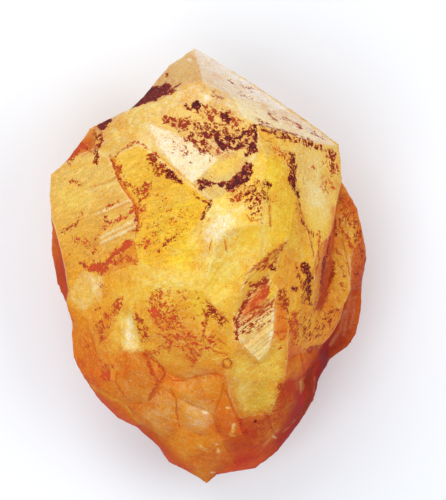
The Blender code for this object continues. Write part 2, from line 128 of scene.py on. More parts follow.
# Kinds of surface: how far they wander and over what length in mm, how dull they are, how much
# the growth streaks show, how much of a face's colour is drawn from its neighbours, and how
# short its marks are along the growth lines, against across them.
skins = {
    "growth": {"relief": 0.05, "size": 5.0, "dull": 0.32, "streak": 1.0, "blend": 0.15,
               "along": 0.6, "across": 1.0},
    "etched": {"relief": 0.12, "size": 2.6, "dull": 0.50, "streak": 0.45, "blend": 0.5,
               "along": 0.9, "across": 1.0},
    "clean": {"relief": 0.04, "size": 6.0, "dull": 0.34, "streak": 0.35, "blend": 0.2,
              "along": 0.6, "across": 1.0},
    "broken": {"relief": 0.22, "size": 5.5, "dull": 0.68, "streak": 0.2, "blend": 0.75,
               "along": 1.0, "across": 1.0},
    "ribbed": {"relief": 0.08, "size": 3.0, "dull": 0.40, "streak": 1.6, "blend": 0.1,
               "along": 0.35, "across": 1.5},
}

# The stone's colours, from palest to darkest; the palest of them also paint its highlights and glare.
palette = {
    "milk": "#F4EBDA", "frost": "#ECE2DC", "bone": "#E6D4BF", "ivory": "#EDE3C2",
    "cream": "#EFDDAF", "primrose": "#EFDF92", "straw": "#E6CB82", "sand": "#DFBE8E",
    "biscuit": "#D5AE74", "fawn": "#C89F66", "oat": "#D6B566", "wheat": "#E5C068",
    "butter": "#EBCC5C", "lemon": "#F0CE3E", "sunny": "#F8D63C", "honey": "#E6B846",
    "saffron": "#E9BE30", "ochre": "#DCA53A", "olive": "#CFA83C", "amber": "#E2A22C",
    "apricot": "#DD8E28", "marmalade": "#DA8222", "caramel": "#D0853A", "tangerine": "#D97420",
    "flame": "#DA6424", "pumpkin": "#D06622", "copper": "#C5662E", "russet": "#BC5222",
    "scarlet": "#C2381A", "brick": "#AE421C", "oxblood": "#962C18", "maroon": "#7A1C1A",
    "rose": "#C98A78",
}

# Faces of the upper side: kind of surface, colour and the colour it turns into, the direction of
# that change and of the growth lines in degrees from across, and the outline. Each face's colours
# hold the light and shade that fall on it, painted in, as well as its own colour.
faces = [
    # the point
    ("clean", "fawn", "biscuit", 60, 50, [(-4, 65.5), (-1.5, 55), (-6.5, 54.5), (-13, 50), (-23, 47),
     (-18.5, 51.5), (-17, 53.5), (-11.5, 60.5)]),
    # the right point face turns into a painted glare towards its upper edge
    ("clean", "bone", "frost", 50, -33, [(-4, 65.5), (14, 53.7), (24, 46.5), (16, 49), (7, 50.5),
     (-1.5, 55)]),
    ("clean", "cream", "bone", 57, -33, [(7, 50.5), (16, 49), (24, 46.5), (31.5, 41.2), (38.3, 36),
     (33.5, 36.5), (27.5, 38), (21.5, 40), (14.5, 42), (10.5, 44)]),
    ("etched", "straw", "sand", 0, -15, [(-23, 47), (-13, 50), (-6.5, 54.5), (-1.5, 55), (7, 50.5),
     (10.5, 44), (5, 45.5), (-1, 48.5), (-7, 48), (-17.5, 43)]),
    # the plate and its ledge
    ("clean", "oat", "wheat", 90, -40, [(-17.5, 43), (-7, 48), (-1, 48.5), (5, 45.5), (10.5, 44), (14.5, 42),
     (15, 37), (12.5, 33), (12, 26.5), (8.5, 23.5), (1.5, 20), (-16.5, 35), (-15.5, 38.5)]),
    ("etched", "ochre", "honey", 0, -40, [(-16.5, 35), (1.5, 20), (1, 19.2), (-17, 34.5)]),
    # the upper left
    ("etched", "oat", "straw", 0, 25, [(-23, 47), (-17.5, 43), (-15.5, 38.5), (-16.5, 35), (-17, 34.5),
     (-20.5, 36.5), (-28, 32.5), (-28.8, 32.2), (-33.5, 35.5), (-33, 40.5), (-28, 43)]),
    ("etched", "sand", "sand", 0, 30, [(-30, 44), (-23, 47), (-28, 43)]),
    ("etched", "caramel", "biscuit", 30, 30, [(-35, 41.5), (-30, 44), (-28, 43), (-33, 40.5)]),
    ("broken", "copper", "caramel", 0, 60, [(-37.5, 38), (-35, 41.5), (-33, 40.5), (-33.5, 35.5)]),
    ("broken", "tangerine", "tangerine", 0, 45, [(-42.5, 31.5), (-37.5, 38), (-33.5, 35.5), (-38.5, 33.5)]),
    ("growth", "amber", "wheat", 80, 25, [(-47, 28), (-42.5, 31.5), (-38.5, 33.5), (-33.5, 35.5),
     (-28.8, 32.2), (-26.4, 24.9), (-22.2, 19), (-20.8, 13.8), (-21.5, 8.5), (-31.5, -2.5), (-36, 0),
     (-42, -6.5), (-43, 1), (-45, 9), (-47, 16), (-47.5, 22)]),
    ("etched", "amber", "honey", 60, 50, [(-36, 0), (-31.5, -2.5), (-31, -9), (-33.5, -12), (-36.5, -14.5),
     (-42.5, -10.5), (-42, -6.5)]),
    ("broken", "brick", "tangerine", 90, 80, [(-47, 16), (-45, 9), (-43, 1), (-42, -6.5), (-42.5, -10.5),
     (-45.5, -5), (-47.5, 5.5), (-47, 11.5)]),
    ("growth", "honey", "saffron", -30, 15, [(-28, 32.5), (-20.5, 36.5), (-17, 34.5), (1, 19.2), (-1.5, 14),
     (-3, 8.5), (-7.5, 2), (-14, 0), (-20, 2), (-21.5, 8.5), (-20, 14), (-21.3, 19.6), (-25.5, 25.5)]),
    ("etched", "amber", "apricot", 0, 25, [(-28.8, 32.2), (-28, 32.5), (-25.5, 25.5), (-21.3, 19.6),
     (-20, 14), (-21.5, 8.5), (-20.8, 13.8), (-22.2, 19), (-26.4, 24.9)]),
    # the swollen middle
    ("etched", "primrose", "honey", 60, 55, [(1.5, 20), (8.5, 23.5), (12.5, 24), (16, 25), (15, 13),
     (4, 11)]),
    ("etched", "saffron", "primrose", 0, 55, [(1.5, 20), (4, 11), (-1.5, -6), (-7.5, 2), (-3, 8.5),
     (-1.5, 14), (1, 19.2)]),
    ("etched", "butter", "butter", 0, 55, [(4, 11), (15, 13), (15, 1.5), (12.5, 0), (9.5, -6.5), (2, -10.5),
     (-1.5, -6)]),
    ("etched", "butter", "saffron", 0, 85, [(16, 25), (23, 19), (22.5, 8), (15, 1.5), (15, 13)]),
    # the upper right
    ("etched", "honey", "wheat", 0, -25, [(14.5, 42), (21.5, 40), (27.5, 38), (24.5, 34), (17, 33),
     (15, 37)]),
    ("etched", "wheat", "butter", 0, 70, [(15, 37), (17, 33), (16, 25), (12.5, 24), (8.5, 23.5), (12, 26.5),
     (12.5, 33)]),
    ("etched", "sunny", "honey", 10, 80, [(17, 33), (24.5, 34), (25, 23.5), (23, 19), (16, 25)]),
    ("growth", "saffron", "amber", 0, 80, [(23, 19), (25, 23.5), (27, 19), (28.5, 11), (22.5, 8)]),
    ("clean", "honey", "wheat", 90, -70, [(27.5, 38), (33.5, 36.5), (38.3, 36), (39.2, 31), (39.5, 25.5),
     (38, 20.5), (37, 13), (35.5, 9.3), (33, 7.5), (31, 3.5), (28.5, 11), (27, 19), (25, 23.5), (24.5, 34)]),
    # the pale blade and what lies round it
    ("ribbed", "ochre", "ochre", 0, 42, [(15, 1.5), (22.5, 8), (17.5, -2), (12, -7), (9, -12), (7.5, -16),
     (9.5, -6.5), (12.5, 0)]),
    ("ribbed", "cream", "wheat", 90, 38, [(17.5, -2), (20.5, -6), (19.5, -9.5), (19, -19.5), (17.5, -23),
     (15, -27), (12.5, -24.5), (9, -21), (7.5, -16), (9, -12), (12, -7)]),
    ("etched", "ochre", "apricot", 0, 5, [(20.5, -6), (23, -12), (23.5, -21.5), (17.5, -23), (19, -19.5),
     (19.5, -9.5)]),
    ("etched", "amber", "honey", 125, 80, [(22.5, 8), (28.5, 11), (31, 3.5), (31, -11), (27.5, -23),
     (23.5, -21.5), (23, -12), (20.5, -6), (17.5, -2)]),
    ("ribbed", "amber", "pumpkin", 0, 80, [(31, 3.5), (33, 7.5), (35.5, 9.3), (34.5, 2), (33.5, -6.5),
     (31.5, -12.5), (31, -11)]),
    # the groove and the smaller crystal
    ("broken", "copper", "marmalade", 0, 80, [(35.5, 9.3), (37, 5.5), (36, -3), (34, -10), (31.5, -12.5),
     (33.5, -6.5), (34.5, 2)]),
    ("etched", "copper", "wheat", 90, 80, [(39.5, 25.5), (38.3, 19.5), (37.5, 12.5), (37, 5.5), (35.5, 9.3),
     (37, 13), (38, 20.5)]),
    ("etched", "marmalade", "ochre", 200, -55, [(39.5, 25.5), (44.5, 17.5), (46.5, 9.5), (42.5, 3.5),
     (37, 5.5), (37.5, 12.5), (38.3, 19.5)]),
    ("etched", "russet", "copper", 90, -70, [(42.5, 3.5), (46.5, 9.5), (47.5, 2.5), (46.8, -6),
     (42.5, -6.5)]),
    ("etched", "apricot", "ochre", 0, -55, [(37, 5.5), (42.5, 3.5), (42.5, -6.5), (40.5, -11.5), (33, -13.5),
     (34, -10), (36, -3)]),
    ("broken", "oxblood", "russet", 90, 60, [(42.5, -6.5), (46.8, -6), (46.8, -13), (45.2, -20),
     (42.8, -24.6), (38.3, -27), (33, -24), (36.5, -20.5), (39.5, -15.5), (40.5, -11.5)]),
    ("etched", "amber", "apricot", 0, 45, [(31.5, -12.5), (34, -10), (33, -13.5), (40.5, -11.5),
     (39.5, -15.5), (36.5, -20.5), (33, -24), (28.5, -25), (27.5, -23), (31, -11)]),
    # the lower right
    ("etched", "pumpkin", "marmalade", 0, 45, [(27.5, -23), (28.5, -25), (23.5, -26.5), (23.5, -21.5)]),
    ("broken", "pumpkin", "russet", -20, 60, [(23.5, -26.5), (28.5, -25), (31.5, -29.5), (29, -33.5),
     (22.5, -33.5)]),
    ("broken", "oxblood", "maroon", 0, 75, [(28.5, -25), (33, -24), (38.3, -27), (33.8, -32), (32, -39.5),
     (28.5, -46), (29, -40), (29, -33.5), (31.5, -29.5)]),
    ("broken", "russet", "brick", 0, 75, [(22.5, -33.5), (29, -33.5), (29, -40), (24.5, -47.5), (19, -52),
     (18.5, -43.5), (20, -39.5)]),
    ("broken", "brick", "oxblood", 90, 50, [(29, -40), (28.5, -46), (20.5, -56), (19, -52), (24.5, -47.5)]),
    ("etched", "olive", "ochre", 90, 5, [(5.5, -31), (9, -21), (12.5, -24.5), (15, -27), (17.5, -23),
     (23.5, -21.5), (23.5, -26.5), (22.5, -33.5), (20, -39.5), (18.5, -43.5), (16, -43.5), (9.5, -44.5),
     (6.5, -38)]),
    ("broken", "pumpkin", "marmalade", 90, 70, [(5.5, -31), (6.5, -38), (9.5, -44.5), (12, -49.5),
     (4, -51.5), (1.5, -43.5), (4, -37)]),
    ("broken", "russet", "russet", 90, 55, [(9.5, -44.5), (16, -43.5), (18.5, -43.5), (19, -52), (20.5, -56),
     (14.5, -61), (8, -59), (4, -51.5), (12, -49.5)]),
    ("broken", "russet", "russet", 0, 0, [(8, -59), (14.5, -61), (2.5, -63), (2, -60)]),
    # the lower left
    ("etched", "amber", "butter", 0, 15, [(-31.5, -2.5), (-20, 2), (-14, 0), (-18.5, -7), (-22, -13),
     (-26, -10.5), (-31, -9)]),
    ("growth", "apricot", "apricot", 0, 40, [(-31.5, -2.5), (-21.5, 8.5), (-20, 2)]),
    ("etched", "straw", "honey", 90, 80, [(-26, -10.5), (-22, -13), (-20, -24.5), (-25.5, -23)]),
    ("etched", "apricot", "amber", 45, 60, [(-31, -9), (-26, -10.5), (-25.5, -23), (-27, -25), (-29, -33.5),
     (-33.5, -24.5), (-36.5, -14.5), (-33.5, -12)]),
    ("etched", "saffron", "butter", 90, 8, [(-14, 0), (-7.5, 2), (-1.5, -6), (-5.5, -7), (-18.5, -7)]),
    ("etched", "amber", "honey", 80, 10, [(-18.5, -7), (-5.5, -7), (-13, -18.5), (-20, -24.5), (-22, -13)]),
    ("etched", "honey", "saffron", 90, 8, [(-5.5, -7), (-1.5, -6), (2, -10.5), (5, -15), (-0.5, -20),
     (-13, -18.5)]),
    ("etched", "apricot", "honey", 90, 20, [(-13, -18.5), (-0.5, -20), (5.5, -31), (-0.5, -31), (-7, -33),
     (-12.5, -30.5), (-17.5, -25.5), (-20, -24.5)]),
    ("etched", "amber", "honey", 60, -35, [(2, -10.5), (9.5, -6.5), (7.5, -16), (9, -21), (5.5, -31),
     (-0.5, -20), (5, -15)]),
    ("broken", "tangerine", "apricot", 90, 60, [(-42.5, -10.5), (-36.5, -14.5), (-33.5, -24.5), (-29, -33.5),
     (-32.5, -36), (-37.5, -33), (-40.5, -27), (-41, -16)]),
    # the broken lower end
    ("broken", "caramel", "marmalade", 160, 30, [(-27, -25), (-25.5, -23), (-20, -24.5), (-17.5, -25.5),
     (-14, -35), (-18, -40), (-24.5, -40.5), (-32.5, -36), (-29, -33.5)]),
    ("broken", "marmalade", "marmalade", 90, 60, [(-17.5, -25.5), (-12.5, -30.5), (-14, -35)]),
    ("broken", "apricot", "marmalade", 0, 60, [(-12.5, -30.5), (-7, -33), (-0.5, -31), (5.5, -31), (4, -37),
     (1.5, -43.5), (-9.5, -38), (-14, -35)]),
    ("broken", "marmalade", "caramel", 90, 60, [(-9.5, -38), (1.5, -43.5), (4, -51.5), (-8.5, -48)]),
    ("broken", "caramel", "tangerine", 90, 45, [(-14, -35), (-9.5, -38), (-8.5, -48), (-13, -51.5),
     (-17.5, -48.5), (-20.5, -47), (-24.5, -40.5), (-18, -40)]),
    ("broken", "caramel", "apricot", 90, 70, [(-8.5, -48), (4, -51.5), (8, -59), (2, -60), (2.5, -63),
     (-0.5, -65.5), (-6.5, -62), (-3, -60), (-10, -55), (-13, -51.5)]),
    ("broken", "pumpkin", "tangerine", 45, 130, [(-37.5, -33), (-32.5, -36), (-24.5, -40.5), (-20.5, -47),
     (-21.5, -48.5), (-27.5, -45.5), (-33.5, -39.5)]),
    ("broken", "russet", "pumpkin", 0, 130, [(-21.5, -48.5), (-20.5, -47), (-17.5, -48.5), (-13, -51.5),
     (-10, -55), (-3, -60), (-6.5, -62), (-12, -59), (-16.5, -52.5)]),
]

# Growth lines, which are shallow steps across a face: the face's name, the way they run in degrees
# from across, their spacing, their height, how softly they fade at the outline, and the outline.
growthLines = [
    ("long left face", 24, 2.8, 0.22, 1.0, [(-48, 27.5), (-37.5, 32.5), (-29.5, 31.5), (-27, 24.5),
     (-22.8, 18.5), (-21.5, 13), (-22.5, 7.5), (-31, -2), (-36, 0), (-42.5, -2), (-46, 11)]),
    ("yellow face", 15, 4.0, 0.09, 2.0, [(-28.5, 32), (-20.5, 36.5), (-16, 34), (1.5, 19.5), (-2.5, 8.5),
     (-7.5, 2), (-20, 2), (-21.5, 8.5)]),
    ("right point face", -33, 2.2, 0.16, 1.5, [(-4, 66.5), (39.5, 37.5), (30.5, 36.5), (16, 42.5), (2, 52),
     (-3, 61.5)]),
    ("left point face", 50, 3.0, 0.09, 1.5, [(-4.5, 66.5), (-1.5, 56.5), (-13, 50.5), (-23, 47), (-18, 55)]),
    ("pale blade", 38, 1.3, 0.16, 0.6, [(16.5, -6.5), (19, -9.5), (19, -19.5), (17.5, -23), (15, -27),
     (12.5, -24.5), (9, -21), (10, -15), (12.5, -9.5)]),
    ("fluted right side", 80, 2.4, 0.45, 2.0, [(17, 6), (24, 9), (30, 3), (37, 8), (36, -6), (32, -13),
     (29, -24.5), (24, -27.5), (21, -20), (21, -5)]),
    ("pale right face", -70, 4.5, 0.1, 2.0, [(24.5, 34.5), (38.5, 36), (39, 20.5), (37.5, 14.5), (30, 3),
     (27.5, 16), (24.5, 23.5)]),
    ("smaller crystal", 86, 2.6, 0.3, 2.0, [(39.5, 25), (46, 10), (46, -4), (40, -14), (33, -23), (30, -18),
     (34, -8), (37, 10)]),
]

# Shell-shaped ripples in the broken end: where the blow fell, their spacing, height and reach.
breaks = [
    ((-30, -22), 5.0, 0.12, 14),
    ((10, -64), 3.6, 0.12, 14),
    ((36, -40), 3.4, 0.14, 12),
]


steps = {
    "rise": 0.82,  # share of a growth step that slopes up, before it drops back
    "drift": 0.55,  # how far the lines wander, in steps
    "driftSize": 5.0,  # length over which they wander
    "driftStretch": 6.0,  # the wander is this much longer along the lines
    "ringDrift": 1.5,  # how far the ripples of the broken end are out of round
    "ringDriftSize": 9.0,  # and over what length
}


def stepHeight(places, face):
    name, angle, spacing, height, soft, outline = face
    x, y = places[:, 0], places[:, 1]
    along, across = turned(angle, x, y)
    spots = np.stack([across, along / steps["driftStretch"], np.zeros(len(x))], axis=1)
    # the length of its name gives each face a wander of its own
    count = across / spacing + steps["drift"] * wander(spots, steps["driftSize"], len(name))
    part = count - np.floor(count)
    rise = steps["rise"]
    saw = np.where(part < rise, part / rise, (1 - part) / (1 - rise)) - 0.5
    tall = 0.5 + 0.5 * np.sin(np.floor(count) * 12.9898 + 1.7) ** 2  # from half to full height
    mask = smoothStep(0, soft, insideGap(x, y, outline))
    return mask * height * saw * tall


def rippleHeight(places, ring):
    (blowX, blowY), spacing, height, reach = ring
    far = np.hypot(places[:, 0] - blowX, places[:, 1] - blowY)
    far = far + steps["ringDrift"] * wander(places, steps["ringDriftSize"], 3)
    return height * np.sin(2 * math.pi * far / spacing) * np.exp(-((far / reach) ** 2))


def vertexData(mesh):
    places = np.empty(len(mesh.vertices) * 3)
    normals = np.empty(len(mesh.vertices) * 3)
    mesh.vertices.foreach_get("co", places)
    mesh.vertices.foreach_get("normal", normals)
    return places.reshape(-1, 3) / mm, normals.reshape(-1, 3)


def triangleData(mesh):
    # the three corners of each triangle, its normal, and the edge that leaves each corner
    corners = np.empty(len(mesh.loops), int)
    edges = np.empty(len(mesh.loops), int)
    normals = np.empty(len(mesh.polygons) * 3)
    mesh.loops.foreach_get("vertex_index", corners)
    mesh.loops.foreach_get("edge_index", edges)
    mesh.polygons.foreach_get("normal", normals)
    return corners.reshape(-1, 3), normals.reshape(-1, 3), edges.reshape(-1, 3)


def edgeEnds(mesh):
    ends = np.empty(len(mesh.edges) * 2, int)
    mesh.edges.foreach_get("vertices", ends)
    return ends.reshape(-1, 2)


def relax(values, ends, rounds, moving=None):
    # draws each point's values half way to the mean of its neighbours', in each round
    count = np.bincount(ends.ravel(), minlength=len(values))
    values = values.copy()
    for _ in range(rounds):
        for n in range(values.shape[1]):
            total = np.bincount(ends[:, 0], values[ends[:, 1], n], len(values))
            total += np.bincount(ends[:, 1], values[ends[:, 0], n], len(values))
            change = 0.5 * (total / count - values[:, n])
            values[:, n] += change if moving is None else change * moving
    return values


def ridgeOf(places, normals, ends, rounds):
    # how far each point stands out from the stone round it; hollows are negative
    return np.einsum("ij,ij->i", places - relax(places, ends, rounds), normals)


def findFaces(places, corners, normals):
    # which named face each triangle lies in, or -1 on the sides and the underside
    found = np.full(len(corners), -1)
    middles = places[corners].mean(axis=1)
    facesUp = normals[:, 2] > 0.02
    for number, face in enumerate(faces):
        points = np.array(face[5])
        near = facesUp & (found < 0)
        near &= (middles[:, :2] > points.min(axis=0) - 0.1).all(axis=1)
        near &= (middles[:, :2] < points.max(axis=0) + 0.1).all(axis=1)
        chosen = np.flatnonzero(near)
        inside = insideGap(middles[chosen, 0], middles[chosen, 1], face[5]) > 0
        found[chosen[inside]] = number
    return found


def edgeAngles(edges, normals, faceOf):
    # the angle across each edge in degrees, and whether two named faces meet there
    order = np.argsort(edges.ravel(), kind="stable") // 3
    first, second = order[0::2], order[1::2]
    dots = np.einsum("ij,ij->i", normals[first], normals[second])
    angles = np.degrees(np.arccos(np.clip(dots, -1, 1)))
    return angles, faceOf[first] != faceOf[second]


def divideSolid():
    # a copy of the plain solid in small triangles
    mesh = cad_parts[crystal["node"]].data.copy()
    mesh.name = "heliodorStone"
    mesh.materials.clear()
    work = bmesh.new()
    work.from_mesh(mesh)
    bmesh.ops.remove_doubles(work, verts=work.verts, dist=crystal["weld"])
    bmesh.ops.subdivide_edges(work, edges=work.edges[:], cuts=crystal["cuts"], use_grid_fill=True)
    bmesh.ops.triangulate(work, faces=work.faces)
    work.to_mesh(mesh)
    work.free()
    while mesh.attributes.get("custom_normal"):
        mesh.attributes.remove(mesh.attributes["custom_normal"])
    print("solid divided into", len(mesh.polygons), "triangles")
    return mesh


def reliefOf(places, normals, ends, corners, faceOf):
    # how far each point moves out: worn ridges, growth lines, ripples and each surface's own relief
    ridge = ridgeOf(places, normals, ends, 4)
    uneven = np.clip(0.5 + 0.7 * wander(places, crystal["wearSize"], 11), 0, 1.2)
    lift = -crystal["edgeWear"] * (np.clip(ridge / crystal["ridgeHeight"], 0, 1) * uneven)
    seen = smoothStep(-0.1, 0.25, normals[:, 2])
    for face in growthLines:
        lift += seen * stepHeight(places, face)
    for ring in breaks:
        lift += seen * rippleHeight(places, ring)
    names = list(skins)
    kindOf = np.full(len(places), names.index("etched"))
    kinds = np.array([names.index(face[0]) for face in faces] + [names.index("etched")])
    kindOf[corners.ravel()] = np.repeat(kinds[faceOf], 3)
    for number, skin in enumerate(skins.values()):
        lift += np.where(kindOf == number, skin["relief"] * wander(places, skin["size"], 5, 4), 0)
    return lift


def refineCrystal():
    # the shown stone: smooth inside its faces, with worn edges and growth lines
    mesh = divideSolid()
    places, normals = vertexData(mesh)
    plain = places.copy()
    corners, faceNormals, edges = triangleData(mesh)
    ends = edgeEnds(mesh)
    faceOf = findFaces(places, corners, faceNormals)
    angles, border = edgeAngles(edges, faceNormals, faceOf)
    crisp = (border & (angles > crystal["faceAngle"])) | (angles > crystal["sharpAngle"])
    held = np.zeros(len(places))
    held[ends[crisp].ravel()] = 1
    held[places[:, 2] < crystal["restHeight"]] = 1
    places = relax(places, ends, crystal["smoothing"], 1 - held)
    lift = reliefOf(places, normals, ends, corners, faceOf)
    lift *= smoothStep(0, crystal["reliefHeight"], places[:, 2])
    places += lift[:, None] * normals
    places[:, 2] = np.maximum(places[:, 2], 0)
    mesh.vertices.foreach_set("co", (places * mm).ravel())
    mesh.update()
    mesh.shade_smooth()
    mesh.attributes.new("sharp_edge", "BOOLEAN", "EDGE").data.foreach_set("value", crisp)
    stone = bpy.data.objects.new("heliodorStone", mesh)
    bpy.context.scene.collection.objects.link(stone)
    print("stone shaped,", int((faceOf >= 0).sum()), "triangles on named faces")
    return stone, faceOf, plain


# The colour of the sides by how far they are towards the point, in mm.
sideColours = [
    (-66, "brick"), (-54, "russet"), (-40, "pumpkin"), (-22, "tangerine"), (-8, "marmalade"),
    (6, "apricot"), (22, "amber"), (36, "wheat"), (48, "bone"), (66, "bone")]
# painted shade on the steep sides, against the pale sheen they catch at a grazing angle
steepShade = 0.07  # taken off the linear colour where the surface is steep
